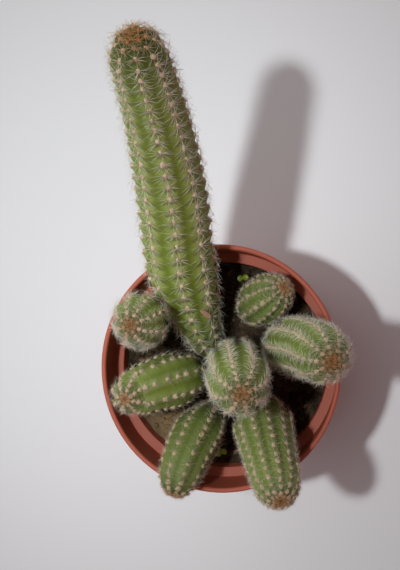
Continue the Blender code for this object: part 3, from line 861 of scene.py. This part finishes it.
def cone_points(root, direction, bend, length, thickness):
    """Curved cones: the centre line is root + length (t direction + t squared bend).

    A ring of points lies at each share t of CONE_RINGS, with the radius
    thickness (1 - t squared), and the last point is the tip, at t = 1."""
    aside = unit(np.cross(direction, direction[:, [1, 2, 0]] + OFF_AXIS))
    beside = np.cross(direction, aside)
    turns = np.arange(CONE_SIDES) * math.tau / CONE_SIDES
    parts = []
    for t in CONE_RINGS:
        centre = root + length[:, None] * (t * direction + t * t * bend)
        ring = np.cos(turns)[:, None] * aside[:, None] + np.sin(turns)[:, None] * beside[:, None]
        parts.append(centre[:, None] + ring * (thickness * (1 - t * t))[:, None, None])
    tip = root + length[:, None] * (direction + bend)
    return np.concatenate(parts + [tip[:, None]], axis=1)


CONE_QUADS = np.array([(0, 1, 4, 3), (1, 2, 5, 4), (2, 0, 3, 5)])
CONE_FANS = np.array([(3, 4, 6), (4, 5, 6), (5, 3, 6), (0, 2, 1)])
CONE_SHARES = (*np.repeat(CONE_RINGS, CONE_SIDES), 1.0)
print("a spine has", len(CONE_QUADS) * 2 + len(CONE_FANS), "triangles")

# %% [markdown]
# Wool is a mat of fine hairs that scatter light, so it is matt, with a soft sheen at grazing
# angles. It is cream, with a pinkish cast, rusty where it is young, and painted duller and
# darker on the stems whose green is painted darker, partly as painted shade. Felt as fine as a
# hair wouldn't show, so its grain is drawn several hairs wide.

# %% Mix the wool
FELT_MM = 0.15
FELT_DEPTH = 0.08

wool, tree, shader = new_material("areole_wool", roughness=0.95)
shader.inputs["Sheen Weight"].default_value = 0.3
place = add_node(tree, "ShaderNodeTexCoord")
young_value, dull_and_shaded_value = (add_node(tree, "ShaderNodeAttribute", attribute_name=name)
                           for name in ("young", "dull_and_shaded"))
felt = add_node(tree, "ShaderNodeTexNoise", {"Scale": 1 / (FELT_MM * MM), "Detail": 3.0},
                {"Vector": place.outputs["Object"]})
cream = add_node(tree, "ShaderNodeMix", {"A": linear("#C4A688"), "B": linear("#EED6BC")},
                 {"Factor": felt.outputs["Fac"]}, data_type="RGBA")
# Partly painted shade: wool on the darker-painted stems is painted duller.
dull_and_shaded_wool = add_node(tree, "ShaderNodeMix", {"B": linear("#B09A70")},
                {"Factor": dull_and_shaded_value.outputs["Fac"], "A": cream.outputs["Result"]},
                data_type="RGBA")
rusty = add_node(tree, "ShaderNodeMix", {"B": linear("#AC6A22")},
                 {"Factor": young_value.outputs["Fac"], "A": dull_and_shaded_wool.outputs["Result"]},
                 data_type="RGBA")
bump = add_node(tree, "ShaderNodeBump", {"Strength": 0.6, "Distance": FELT_DEPTH * MM},
                {"Height": felt.outputs["Fac"]})
tree.links.new(rusty.outputs["Result"], shader.inputs["Base Color"])
tree.links.new(bump.outputs["Normal"], shader.inputs["Normal"])
print("wool uses", len(tree.nodes), "nodes")

# %% [markdown]
# A cushion of wool is low and slightly longer along the rib than across it. A small ellipsoid
# of a few dozen faces is enough for that. It is worked out once, for all of them.

# %% Shape one cushion of wool
PAD_HALF = (0.5, 0.6, 0.34)
PAD_COLUMNS = 8
PAD_ROWS = 4


def pad_template():
    """An ellipsoid of rings: across and along by cosines of latitude, outwards by its sine."""
    latitude = np.linspace(-0.5, 0.5, PAD_ROWS + 2)[1:-1, None] * math.pi
    longitude = np.linspace(0.0, math.tau, PAD_COLUMNS, endpoint=False)[None, :]
    x = np.cos(latitude) * np.cos(longitude) * PAD_HALF[0]
    y = np.cos(latitude) * np.sin(longitude) * PAD_HALF[1]
    z = np.sin(latitude) * PAD_HALF[2] + 0 * longitude
    rings = np.stack([x, y, z], axis=-1).reshape(-1, 3)
    return np.concatenate([rings, [(0, 0, -PAD_HALF[2])], [(0, 0, PAD_HALF[2])]])


template = pad_template()
print("a cushion has", len(template), "points")

# %% [markdown]
# Every areole gets a copy of that cushion, with its base sunk into the skin. Each point of it
# is nudged at random, so that no two are alike, and a few loose hairs stand out of it and fray
# its edge. They too are thicker than real ones, so that they show. The cushions are smaller at
# the tip, where they are still growing, and next to another stem, where they have less room.

# %% Grow the areoles
PAD_SINK = 0.1
PAD_ROUGH = 0.11
PAD_SIZES = (0.88, 1.12)
PAD_ROOM = 1.2
LEAST_PAD = 0.35
YOUNG_PAD_LOSS = 0.3
WOOL_RUST_REACH = 0.7
PAD_HAIRS = 9
HAIR_LENGTH = 0.85
HAIR_LENGTHS = (0.6, 1.1)
HAIR_RADIUS = 0.06
HAIR_LEAN = 0.8
HAIR_BEND = 0.3


def clear_distance(stem, points):
    """Distance from the points to the nearest other stem."""
    return np.min([other.distance(points) for other in stems if other is not stem], axis=0)


for stem in stems:
    site = sites[stem.name]
    count = len(site["m"])
    room = np.clip(clear_distance(stem, site["point"]) / PAD_ROOM, LEAST_PAD, 1.0)
    young = np.exp(-((stem.length - site["m"]) / (WOOL_RUST_REACH * stem.spec["rust"])) ** 2)
    size = stem.spec["pad"] * room * (1.0 - YOUNG_PAD_LOSS * young) * rng.uniform(*PAD_SIZES, count)
    local = template[None] + rng.normal(0.0, PAD_ROUGH, (count, *template.shape))
    local = local * size[:, None, None]
    points = site["point"][:, None] - site["out"][:, None] * PAD_SINK
    for k, axis in enumerate(("side", "up", "out")):
        points = points + local[..., k:k + 1] * site[axis][:, None]
    faces = [tiled(f, len(template), count) for f in ring_faces(PAD_ROWS, PAD_COLUMNS)]
    strands = np.repeat(np.arange(count), PAD_HAIRS)
    lean = rng.normal(0.0, HAIR_LEAN, (2, len(strands), 1))
    ahead = site["out"][strands] + lean[0] * site["side"][strands] + lean[1] * site["up"][strands]
    bend = HAIR_BEND * rng.normal(size=ahead.shape)
    hairs = cone_points(site["point"][strands], unit(ahead), bend,
                        HAIR_LENGTH * size[strands] * rng.uniform(*HAIR_LENGTHS, len(strands)),
                        np.full(len(strands), HAIR_RADIUS))
    shift = points[..., 0].size
    faces += [tiled(f, hairs.shape[1], len(strands)) + shift for f in (CONE_QUADS, CONE_FANS)]
    young = np.concatenate([np.repeat(young, len(template)),
                            np.repeat(young[strands], hairs.shape[1])])
    new_piece(stem.name.replace("stem_", "areoles_"),
              np.concatenate([points.reshape(-1, 3), hairs.reshape(-1, 3)]), faces, wool,
              {"young": young, "dull_and_shaded": np.full(len(young), stem.spec["dull_and_shaded"])})

# %% [markdown]
# ## Spines
#
# Twelve thin, glassy spines fan out of each areole, nearly flat along the skin, and two central
# ones stand out from it. They are long enough to reach the next valley and the next areole, and
# they turn the edge of each stem into a soft haze. At the tip they are short, upright and
# rust-brown, because they have just grown.
#
# Where plants crowd, their spines slip past each other. Here a spine that would run into
# another stem, the pot or the soil is shortened in a few steps instead, and left out where even
# the shortest doesn't fit.

# %% Keep the spines clear of what is near
SHORTER = (1.0, 0.8, 0.6, 0.45)
TRAIL = (0.4, 0.7, 1.0)
SPINE_GAP = 0.25
SOIL_TOP = 36.8
CRUMB_TOP = 0.5


def clear_of_pot(points):
    """Whether the points stay off the soil, the collar's inside and the rim."""
    z = points[..., 2]
    r = np.hypot(points[..., 0], points[..., 1] / oval(z))
    inside = np.where(z < ledge_z + CORNER, BODY_TOP_RADIUS - WALL, collar_inside(z)) - SPINE_GAP
    return (z > SOIL_TOP + CRUMB_TOP) & ((z > POT_HEIGHT + SPINE_GAP) | (r < inside))


def fitting_length(stem, root, direction, bend, length):
    """The longest of a few shares of the length that stays clear, or 0 where none does."""
    shares = np.array(TRAIL)[None, :, None]
    own_room = stem.distance(root) + SPINE_GAP
    chosen = np.zeros(len(root))
    for share in sorted(SHORTER):
        reach = (length * share)[:, None, None] * shares
        trail = root[:, None] + reach * direction[:, None] + reach * shares * bend[:, None]
        free = clear_distance(stem, trail).min(axis=1) > np.minimum(own_room, SPINE_GAP)
        free &= clear_of_pot(trail).all(axis=1)
        chosen = np.where(free, length * share, chosen)
    return chosen


heights = np.arange(0.0, 2 * POT_HEIGHT)
off_axis = np.stack([np.full_like(heights, RIM_RADIUS - 1), 0 * heights, heights], axis=-1)
print("a spine may pass over the rim from", heights[clear_of_pot(off_axis)][0], "mm up")

# %% Fan the spines out
RADIAL_SPINES = 12
CENTRAL_SPINES = 2
CENTRAL_SHARE = 0.6
RADIAL_SPLAY = 77.0
CENTRAL_SPLAY = 34.0
CROWN_SPLAY = 45.0
CROWN_SPREAD = 0.35
CROWN_LENGTH = 0.6
AROUND_JITTER = 0.16
SPLAY_JITTER = 7.0
SIDEWAYS = 0.3
DROOP = 0.3
SPINE_BEND = 0.12
BEND_JITTER = 0.6
SPINE_LENGTHS = (0.75, 1.12)
ROOT_ASIDE = 0.25
ROOT_OUT = 0.05


def spines_of(stem, site, rng):
    """Roots, directions, bends, lengths and youth of all spines of a stem.

    A spine's direction is out cos(splay) + (side cos a + up sin a) sin(splay). The even angles
    are first drawn to the sides by a - sideways sin(2a), and then down by droop cos(a)."""
    per_areole = RADIAL_SPINES + CENTRAL_SPINES
    count = len(site["m"])
    shape = (count, per_areole)
    central = np.arange(per_areole) >= RADIAL_SPINES
    evenly = np.arange(per_areole) / np.where(central, CENTRAL_SPINES, RADIAL_SPINES)
    a = math.tau * (evenly + rng.uniform(0, 1, (count, 1))) + rng.normal(0, AROUND_JITTER, shape)
    a = a - SIDEWAYS * np.sin(2 * a)
    a = a - DROOP * np.cos(a)
    splay = np.where(central, CENTRAL_SPLAY, RADIAL_SPLAY) + rng.normal(0, SPLAY_JITTER, shape)
    crowd = site["crowd"][:, None]
    spread = CROWN_SPREAD + (1 - CROWN_SPREAD) * crowd
    splay = np.radians(CROWN_SPLAY + (splay - CROWN_SPLAY) * spread)
    flat = np.cos(a)[..., None] * site["side"][:, None] + np.sin(a)[..., None] * site["up"][:, None]
    direction = np.cos(splay)[..., None] * site["out"][:, None] + np.sin(splay)[..., None] * flat
    length = stem.spec["spine"][0] * np.where(central, CENTRAL_SHARE, 1.0)
    length = length * rng.uniform(*SPINE_LENGTHS, shape)
    length = length * (CROWN_LENGTH + (1 - CROWN_LENGTH) * crowd)
    root = site["point"][:, None] + ROOT_ASIDE * flat + ROOT_OUT * site["out"][:, None]
    bend = SPINE_BEND * (rng.normal(0, BEND_JITTER, (*shape, 3)) - site["out"][:, None])
    young = np.exp(-((stem.length - site["m"]) / stem.spec["rust"]) ** 2)
    flatten = [part.reshape(-1, 3) for part in (root, direction, bend)]
    return (*flatten, length.ravel(), np.repeat(young, per_areole))


print(RADIAL_SPINES + CENTRAL_SPINES, "spines to an areole")

# %% [markdown]
# A grown spine is like a thin thread of horn: pale, smooth and slightly see-through, and
# brownish at its root. The young ones are rust-brown. Two attributes on the mesh, the youth of
# its areole and the share along the spine, mix the colours.

# %% Mix the spines' horn and grow them
HORN_DEPTH = 0.3
ROOT_SHARE = 0.25
THICKNESSES = (0.8, 1.2)

horn, tree, shader = new_material("spine_horn", roughness=0.38, ior=1.55)
shader.inputs["Subsurface Weight"].default_value = 0.5
shader.inputs["Subsurface Radius"].default_value = (1.0, 0.9, 0.7)
shader.inputs["Subsurface Scale"].default_value = HORN_DEPTH * MM
young_value, share_value = (add_node(tree, "ShaderNodeAttribute", attribute_name=name)
                            for name in ("young", "share"))
grown = add_node(tree, "ShaderNodeMath", {1: 1 / ROOT_SHARE}, {0: share_value.outputs["Fac"]},
                 operation="MULTIPLY", use_clamp=True)
pale = add_node(tree, "ShaderNodeMix", {"A": linear("#A98058"), "B": linear("#F4EED6")},
                {"Factor": grown.outputs["Value"]}, data_type="RGBA")
rust = add_node(tree, "ShaderNodeMix", {"B": linear("#D08836")},
                {"Factor": young_value.outputs["Fac"], "A": pale.outputs["Result"]},
                data_type="RGBA")
tree.links.new(rust.outputs["Result"], shader.inputs["Base Color"])

for stem in stems:
    root, direction, bend, length, young = spines_of(stem, sites[stem.name], rng)
    length = fitting_length(stem, root, direction, bend, length)
    keep = length > 0
    root, direction, bend, length, young = (v[keep] for v in (root, direction, bend, length, young))
    thickness = stem.spec["spine"][1] * rng.uniform(*THICKNESSES, len(root))
    points = cone_points(root, direction, bend, length, thickness)
    each = points.shape[1]
    faces = [tiled(f, each, len(root)) for f in (CONE_QUADS, CONE_FANS)]
    new_piece(stem.name.replace("stem_", "spines_"), points.reshape(-1, 3), faces, horn,
              {"young": np.repeat(young, each), "share": np.tile(CONE_SHARES, len(root))})

# %% [markdown]
# ## The potting mix
#
# The soil is dark peat with crumbs of all sizes, a few fibres and pale bits of bark. Its top is
# a height field on rings of points: random heights on a lattice, blended smoothly, at three
# sizes of clod. Under each stem and seedling the field dips into a plain hole, so the plants
# stand in the soil and not through it.

# %% Heights of the soil
SOIL_SEED = 7
LATTICE = 128
CLODS = ((4.2, 0.45), (1.7, 0.38), (0.75, 0.22))
FOLD_LEVEL = 0.6
HOLE_SLOPE = 0.35
HOLE_GAP = 0.3
SEEDLINGS = {"seedling_front": (-1.2, -20.6, 20.0), "seedling_back": (4.0, 20.0, 10.0)}
SEEDLING_STALK = 0.9


def rough(x, y, size, seed):
    """Heights from -1 to 1: a lattice of random numbers that stand size mm apart.

    Between them they are blended with the share x x (3 - 2x)."""
    lattice = np.random.default_rng(seed).uniform(-1.0, 1.0, (LATTICE, LATTICE))
    u, v = x / size + LATTICE / 2, y / size + LATTICE / 2
    i, j = np.floor(u).astype(int), np.floor(v).astype(int)
    fu, fv = u - i, v - j
    fu, fv = fu * fu * (3 - 2 * fu), fv * fv * (3 - 2 * fv)
    low = lattice[i, j] * (1 - fu) + lattice[i + 1, j] * fu
    high = lattice[i, j + 1] * (1 - fu) + lattice[i + 1, j + 1] * fu
    return low * (1 - fv) + high * fv


def crumb_height(x, y):
    """The clods' heights added up, each folded at zero so that they meet in creases."""
    height = np.zeros_like(x)
    for k, (size, amount) in enumerate(CLODS):
        height = height + amount * (2 * np.abs(rough(x, y, size, SOIL_SEED + k)) - FOLD_LEVEL)
    return height


def feet():
    """Place and radius of each hole: under the stems' necks and the seedlings' stalks."""
    holes = [(*stem.axis[0][:2], stem.spec["neck"]) for stem in stems]
    return holes + [(x, y, SEEDLING_STALK / 2) for x, y, _ in SEEDLINGS.values()]


def soil_height(x, y):
    """The crumbs, lowered within each foot to just below the hole's floor, on a short slope."""
    height = SOIL_TOP + crumb_height(x, y)
    for cx, cy, radius in feet():
        inside = np.clip((radius - np.hypot(x - cx, y - cy)) / HOLE_SLOPE, 0.0, 1.0)
        height = height * (1 - inside) + (SOIL_TOP - HOLE_DEPTH - HOLE_GAP) * inside
    return height


centre_height = soil_height(np.zeros(1), np.zeros(1))[0]
print("the soil's middle is", round(centre_height, 1), "mm high")

# %% [markdown]
# The bed fills the pot down to its floor, a tenth of a millimetre clear of the wall. It is a
# turned profile again: one point at the foot of the wall, then many at the soil's top that run
# in to the middle. Each point of their rings then gets its own height.

# %% Shape the soil's bed
SOIL_RINGS = 96
SOIL_SECTORS = 220
WALL_GAP = 0.1

soil_bottom = FLOOR_THICKNESS + WALL_GAP
edge_radius = body_inside(SOIL_TOP) - WALL_GAP
ring_radii = np.linspace(edge_radius, 0.0, SOIL_RINGS, endpoint=False)
soil_outline = np.array([(body_inside(soil_bottom) - WALL_GAP, soil_bottom),
                         *[(radius, SOIL_TOP) for radius in ring_radii]])
soil_rings = turned(soil_outline, SOIL_SECTORS)
soil_rings[1:, :, 2] = soil_height(soil_rings[1:, :, 0], soil_rings[1:, :, 1])
bed = soil_rings[1:, :, 2]
print("soil heights:", bed.min().round(1), "to", bed.max().round(1))

# %% [markdown]
# Moist peat is nearly black. Dry crumbs on top are dull brown, so the colour varies from crumb
# to crumb, and there is no shine at all. The peat has dried to tan in one place, near the
# wall: a soft round zone whose share falls off as a bell curve and is stored on the mesh.

# %% Mix the peat
CRUMB_MM = 1.2
GRAINS_TO_A_CRUMB = 4
GRAIN_DEPTH = 0.2

peat, tree, shader = new_material("damp_peat", roughness=0.95)
shader.inputs["Specular IOR Level"].default_value = 0.25
place = add_node(tree, "ShaderNodeTexCoord")
crumbs = add_node(tree, "ShaderNodeTexVoronoi", {"Scale": 1 / (CRUMB_MM * MM)},
                  {"Vector": place.outputs["Object"]})
grain = add_node(tree, "ShaderNodeTexNoise",
                 {"Scale": GRAINS_TO_A_CRUMB / (CRUMB_MM * MM), "Detail": 4.0},
                 {"Vector": place.outputs["Object"]})
shade = add_node(tree, "ShaderNodeMath", None,
                 {0: crumbs.outputs["Color"], 1: grain.outputs["Fac"]}, operation="MULTIPLY")
brown = add_node(tree, "ShaderNodeMix", {"A": linear("#1E1510"), "B": linear("#6E5940")},
                 {"Factor": shade.outputs["Value"]}, data_type="RGBA")
bump = add_node(tree, "ShaderNodeBump", {"Strength": 0.8, "Distance": GRAIN_DEPTH * MM},
                {"Height": grain.outputs["Fac"]})
dry_value = add_node(tree, "ShaderNodeAttribute", attribute_name="dry")
dusty = add_node(tree, "ShaderNodeMix", {"A": linear("#5B4A36"), "B": linear("#A88A64")},
                 {"Factor": grain.outputs["Fac"]}, data_type="RGBA")
ground = add_node(tree, "ShaderNodeMix", None,
                  {"Factor": dry_value.outputs["Fac"], "A": brown.outputs["Result"],
                   "B": dusty.outputs["Result"]}, data_type="RGBA")
tree.links.new(ground.outputs["Result"], shader.inputs["Base Color"])
tree.links.new(bump.outputs["Normal"], shader.inputs["Normal"])
print("peat uses", len(tree.nodes), "nodes")

# %% Lay the soil
DRY_PLACE = (-14.0, -14.5)
DRY_RADIUS = 5.5
DRY_DEPTH = 1.5


def dryness(points):
    """A bell curve of the distance from the dry place, level with the soil's top only."""
    away = np.hypot(points[..., 0] - DRY_PLACE[0], points[..., 1] - DRY_PLACE[1])
    return np.exp(-(away / DRY_RADIUS) ** 2) * (points[..., 2] > SOIL_TOP - DRY_DEPTH)


soil_ends = [(0.0, 0.0, soil_bottom), (0.0, 0.0, centre_height)]
soil_points = np.concatenate([soil_rings.reshape(-1, 3), soil_ends])
new_piece("soil_bed", soil_points, ring_faces(*soil_rings.shape[:2]), peat,
          {"dry": dryness(soil_points)}, ["soil"])

# %% [markdown]
# Loose crumbs and chips of bark lie on the bed. Each is a small rough ball with fifteen faces,
# stretched, nudged and turned at random. So few faces look broken rather than round, and
# hundreds of them stay light.

# %% Shape rough balls
LUMP_SIDES = 5
LUMP_LATITUDE = 0.46
LUMP_ROUGH = 0.14


def lump_template():
    """Two rings of points, turned half a step against each other, and two end points."""
    longitude = np.arange(LUMP_SIDES) * math.tau / LUMP_SIDES
    level = math.cos(LUMP_LATITUDE)
    rings = [np.stack([np.cos(longitude + k * math.pi / LUMP_SIDES) * level,
                       np.sin(longitude + k * math.pi / LUMP_SIDES) * level,
                       np.full(LUMP_SIDES, (2 * k - 1) * math.sin(LUMP_LATITUDE))], axis=-1)
             for k in (0, 1)]
    return np.concatenate(rings + [[(0, 0, -1)], [(0, 0, 1)]])


def random_turns(count, rng):
    """Rotation matrices from random unit quaternions w, x, y, z."""
    w, x, y, z = unit(rng.normal(size=(count, 4))).T
    return np.stack([1 - 2 * (y * y + z * z), 2 * (x * y - w * z), 2 * (x * z + w * y),
                     2 * (x * y + w * z), 1 - 2 * (x * x + z * z), 2 * (y * z - w * x),
                     2 * (x * z - w * y), 2 * (y * z + w * x), 1 - 2 * (x * x + y * y)],
                    axis=-1).reshape(-1, 3, 3)


def lumps(places, sizes, shape, rng):
    """Rough balls at the places: template x shape x size, nudged and turned."""
    template = lump_template()
    local = template[None] * (1 + rng.normal(0, LUMP_ROUGH, (len(places), len(template), 1)))
    local = local * shape * sizes[:, None, None]
    return places[:, None] + np.einsum("nij,npj->npi", random_turns(len(places), rng), local)


def lump_faces(points):
    """The faces of the rough balls whose points are given, an array for each kind."""
    return [tiled(f, points.shape[1], len(points)) for f in ring_faces(2, LUMP_SIDES)]


print("a rough ball has", len(lump_template()), "points")

# %% [markdown]
# The crumbs come in all sizes up to more than a millimetre. Places for them are drawn evenly
# over the bed's area, more than are wanted, and those on a plant's foot are dropped.

# %% Scatter the crumbs
CRUMBS = 900
CRUMB_SIZE = (0.25, 0.75)
CRUMB_SHAPE = (1.0, 0.85, 0.7)
CRUMB_MARGIN = 0.8
SPARE_DRAWS = 3
LITTER_SEED = 21


def soil_places(count, margin, rng):
    """Random places on the bed, even over its area, that keep off the feet of the plants."""
    r = (edge_radius - margin) * np.sqrt(rng.uniform(0, 1, SPARE_DRAWS * count))
    a = rng.uniform(0, math.tau, SPARE_DRAWS * count)
    x, y = r * np.cos(a), r * np.sin(a)
    free = np.ones(len(x), bool)
    for cx, cy, radius in feet():
        free &= np.hypot(x - cx, y - cy) > radius + margin
    x, y = x[free][:count], y[free][:count]
    return np.stack([x, y, soil_height(x, y)], axis=-1)


rng = np.random.default_rng(LITTER_SEED)
crumb_places = soil_places(CRUMBS, CRUMB_MARGIN, rng)
crumb_sizes = rng.uniform(*CRUMB_SIZE, len(crumb_places))
crumb_points = lumps(crumb_places, crumb_sizes, np.array(CRUMB_SHAPE), rng)
new_piece("soil_crumbs", crumb_points.reshape(-1, 3), lump_faces(crumb_points), peat,
          {"dry": dryness(crumb_points)}, ())

# %% [markdown]
# Chips of pine bark keep the mix airy. Bark is dry and matt, mid brown with a fine grain, and
# breaks into flat pieces, so the chips are the crumbs' rough balls, larger and pressed flat.

# %% Add chips of bark
BARK = 46
BARK_SIZE = (0.6, 1.5)
BARK_SHAPE = (1.0, 0.6, 0.3)
BARK_MARGIN = 1.4
BARK_GRAIN_MM = 0.5

bark, tree, shader = new_material("pine_bark", roughness=0.85)
place = add_node(tree, "ShaderNodeTexCoord")
grain = add_node(tree, "ShaderNodeTexNoise", {"Scale": 1 / (BARK_GRAIN_MM * MM), "Detail": 4.0},
                 {"Vector": place.outputs["Object"]})
brown = add_node(tree, "ShaderNodeMix", {"A": linear("#4B3424"), "B": linear("#8A6D4E")},
                 {"Factor": grain.outputs["Fac"]}, data_type="RGBA")
tree.links.new(brown.outputs["Result"], shader.inputs["Base Color"])

bark_places = soil_places(BARK, BARK_MARGIN, rng)
bark_sizes = rng.uniform(*BARK_SIZE, len(bark_places))
bark_points = lumps(bark_places, bark_sizes, np.array(BARK_SHAPE), rng)
new_piece("bark_chips", bark_points.reshape(-1, 3), lump_faces(bark_points), bark, None, ())

# %% [markdown]
# A few fibres of root and bark lie among the crumbs. They are the same curved cones as the
# spines, laid flat, and those that would run into the wall are left out.

# %% Lay the fibres
FIBRES = 90
FIBRE_LENGTH = (2.0, 6.0)
FIBRE_RADIUS = 0.11
FIBRE_RISE = 0.2
FIBRE_SAG = 0.3
FIBRE_BEND = 0.5
FIBRE_MARGIN = 3.0
FIBRE_WALL_GAP = 0.5

fibre_root = soil_places(FIBRES, FIBRE_MARGIN, rng)
heading = rng.uniform(0, math.tau, len(fibre_root))
fibre_ahead = np.stack([np.cos(heading), np.sin(heading),
                        rng.uniform(0.0, FIBRE_RISE, len(heading))], axis=-1)
fibre_bend = np.stack([-np.sin(heading), np.cos(heading), np.full_like(heading, -FIBRE_SAG)],
                      axis=-1)
fibre_bend = fibre_bend * rng.uniform(-FIBRE_BEND, FIBRE_BEND, (len(heading), 1))
fibre_length = rng.uniform(*FIBRE_LENGTH, len(heading))
ends = fibre_root + fibre_length[:, None] * (fibre_ahead + fibre_bend)
inside = np.hypot(ends[:, 0], ends[:, 1]) < edge_radius - FIBRE_WALL_GAP
fibre_points = cone_points(fibre_root[inside], unit(fibre_ahead)[inside], fibre_bend[inside],
                           fibre_length[inside], np.full(inside.sum(), FIBRE_RADIUS))
new_piece("soil_fibres", fibre_points.reshape(-1, 3),
          [tiled(f, fibre_points.shape[1], inside.sum()) for f in (CONE_QUADS, CONE_FANS)],
          bark, None, ())

# %% [markdown]
# ## Seedlings
#
# Two tiny seedlings have come up in the soil, each with a pair of fleshy seed leaves, smooth
# enough to shine more than the stems do. A leaf is a flattened ball whose width follows the
# sine of its length and which bends upwards towards its end.

# %% Shape a seed leaf and mix its flesh
LEAF_LENGTH = 1.35
LEAF_WIDTH = 0.75
LEAF_THICKNESS = 0.32
LEAF_RISE = 0.35
LEAF_ROWS = 10
LEAF_COLUMNS = 14
LEAF_PATCH_MM = 0.8


def seed_leaf_flesh(name, first, second):
    """The leaves' material: smooth and fleshy, in soft patches of two greens."""
    material, tree, shader = new_material(name, roughness=0.4)
    place = add_node(tree, "ShaderNodeTexCoord")
    patches = add_node(tree, "ShaderNodeTexNoise",
                       {"Scale": 1 / (LEAF_PATCH_MM * MM), "Detail": 3.0},
                       {"Vector": place.outputs["Object"]})
    green = add_node(tree, "ShaderNodeMix", {"A": linear(first), "B": linear(second)},
                     {"Factor": patches.outputs["Fac"]}, data_type="RGBA")
    tree.links.new(green.outputs["Result"], shader.inputs["Base Color"])
    return material


def flat_leaf(length, half_width, half_thickness, rise):
    """A ball stretched along x from the origin, flat in z, lifted by the square of its reach."""
    theta = np.linspace(math.pi, 0.0, LEAF_ROWS + 2)[1:-1, None]
    phi = np.linspace(0.0, math.tau, LEAF_COLUMNS, endpoint=False)[None, :]
    x = length * (1 + np.cos(theta)) / 2 + 0 * phi
    y = half_width * np.sin(theta) * np.cos(phi)
    z = half_thickness * np.sin(theta) * np.sin(phi) + rise * (x / length) ** 2
    rings = np.stack([x, y, z], axis=-1).reshape(-1, 3)
    return np.concatenate([rings, [(0, 0, 0)], [(length, 0, rise)]])


seed_leaf = flat_leaf(LEAF_LENGTH, LEAF_WIDTH, LEAF_THICKNESS, LEAF_RISE)
print("a seed leaf has", len(seed_leaf), "points")

# %% [markdown]
# A seedling is a thin stalk, which is a turned profile, with two such leaves, the second turned
# half round. The front seedling's green is painted brighter, as painted light, and the back
# one's is painted a dull olive, as painted shade.

# %% Grow the seedlings
SEEDLING_HEIGHT = 1.9
STALK_FOOT = ((0.8, 0.0), (1.0, 0.3))
STALK_TOP = ((1.0, 0.0), (0.6, 0.25))
STALK_END = 0.35
STALK_SIDES = 12
# Painted light on the front seedling's bright greens, painted shade on the back one's olive.
SEED_LEAVES_LIT_AND_SHADED = {"seedling_front": ("#A4C030", "#C0D44C"), "seedling_back": ("#6C7A1C", "#88942C")}

for name, (x, y, turn) in SEEDLINGS.items():
    low = SOIL_TOP - HOLE_DEPTH + HOLE_GAP
    high = SOIL_TOP + SEEDLING_HEIGHT
    half = SEEDLING_STALK / 2
    foot = [(half * share, low + rise) for share, rise in STALK_FOOT]
    top = [(half * share, high + rise) for share, rise in STALK_TOP]
    stalk = turned(np.array(foot + top), STALK_SIDES)
    stalk_ends = [(0, 0, low), (0, 0, high + STALK_END)]
    parts = [(np.concatenate([stalk.reshape(-1, 3), stalk_ends]), ring_faces(*stalk.shape[:2]))]
    for sign in (1.0, -1.0):
        leaf = seed_leaf * (sign, sign, 1.0) + (0, 0, high)
        parts.append((leaf, ring_faces(LEAF_ROWS, LEAF_COLUMNS)))
    points, faces, shift = [], [], 0
    for part_points, part_faces in parts:
        points.append(part_points)
        faces += [f + shift for f in part_faces]
        shift += len(part_points)
    spin = np.array(Matrix.Rotation(math.radians(turn), 3, "Z"))
    flesh = seed_leaf_flesh(name.replace("seedling_", "seed_leaf_"), *SEED_LEAVES_LIT_AND_SHADED[name])
    new_piece(name.replace("seedling_", "sprout_"), np.concatenate(points) @ spin.T + (x, y, 0),
              faces, flesh, None, [name])

# %% [markdown]
# A scrap of dry, papery skin hangs on the tall stem's foot, right of its front rib. Dead skin
# has lost its wax and its green, so it is matt and a pale, pinkish brown. It is the same flat
# shape as a seed leaf. Its two ends are lowered until they are a little above the stem, and the
# rest of it follows them.

# %% Hang the dry scrap
SCRAP_PLACE = ((-3.4, 14.35), (-1.6, 12.1))
SCRAP_HALF_WIDTH = 0.62
SCRAP_THICKNESS = 0.12
SCRAP_CURL = 0.5
SCRAP_GAP = 0.35
SCRAP_PATCH_MM = 0.6
SEARCH_TOP = 100.0
SEARCH_STEPS = 1200

dry_skin, tree, shader = new_material("dry_papery_skin", roughness=0.8)
place = add_node(tree, "ShaderNodeTexCoord")
patches = add_node(tree, "ShaderNodeTexNoise", {"Scale": 1 / (SCRAP_PATCH_MM * MM), "Detail": 4.0},
                   {"Vector": place.outputs["Object"]})
pink = add_node(tree, "ShaderNodeMix", {"A": linear("#C88A72"), "B": linear("#E2B4A0")},
                {"Factor": patches.outputs["Fac"]}, data_type="RGBA")
tree.links.new(pink.outputs["Result"], shader.inputs["Base Color"])

heights = np.linspace(SOIL_TOP, SEARCH_TOP, SEARCH_STEPS)
ends = []
for x, y in SCRAP_PLACE:
    column = np.stack([np.full_like(heights, x), np.full_like(heights, y), heights], axis=-1)
    near = np.nonzero(stems[0].distance(column) < SCRAP_GAP)[0]
    ends.append(np.array([x, y, heights[near[-1]]]))
along = ends[1] - ends[0]
reach = np.hypot(along[0], along[1])
scrap = flat_leaf(1.0, SCRAP_HALF_WIDTH, SCRAP_THICKNESS, SCRAP_CURL)
beside = np.array([-along[1], along[0], 0.0]) / reach
scrap_points = ends[0] + scrap[:, :1] * along + scrap[:, 1:2] * beside + scrap[:, 2:] * (0, 0, 1)
new_piece("dry_scrap", scrap_points, ring_faces(LEAF_ROWS, LEAF_COLUMNS), dry_skin)
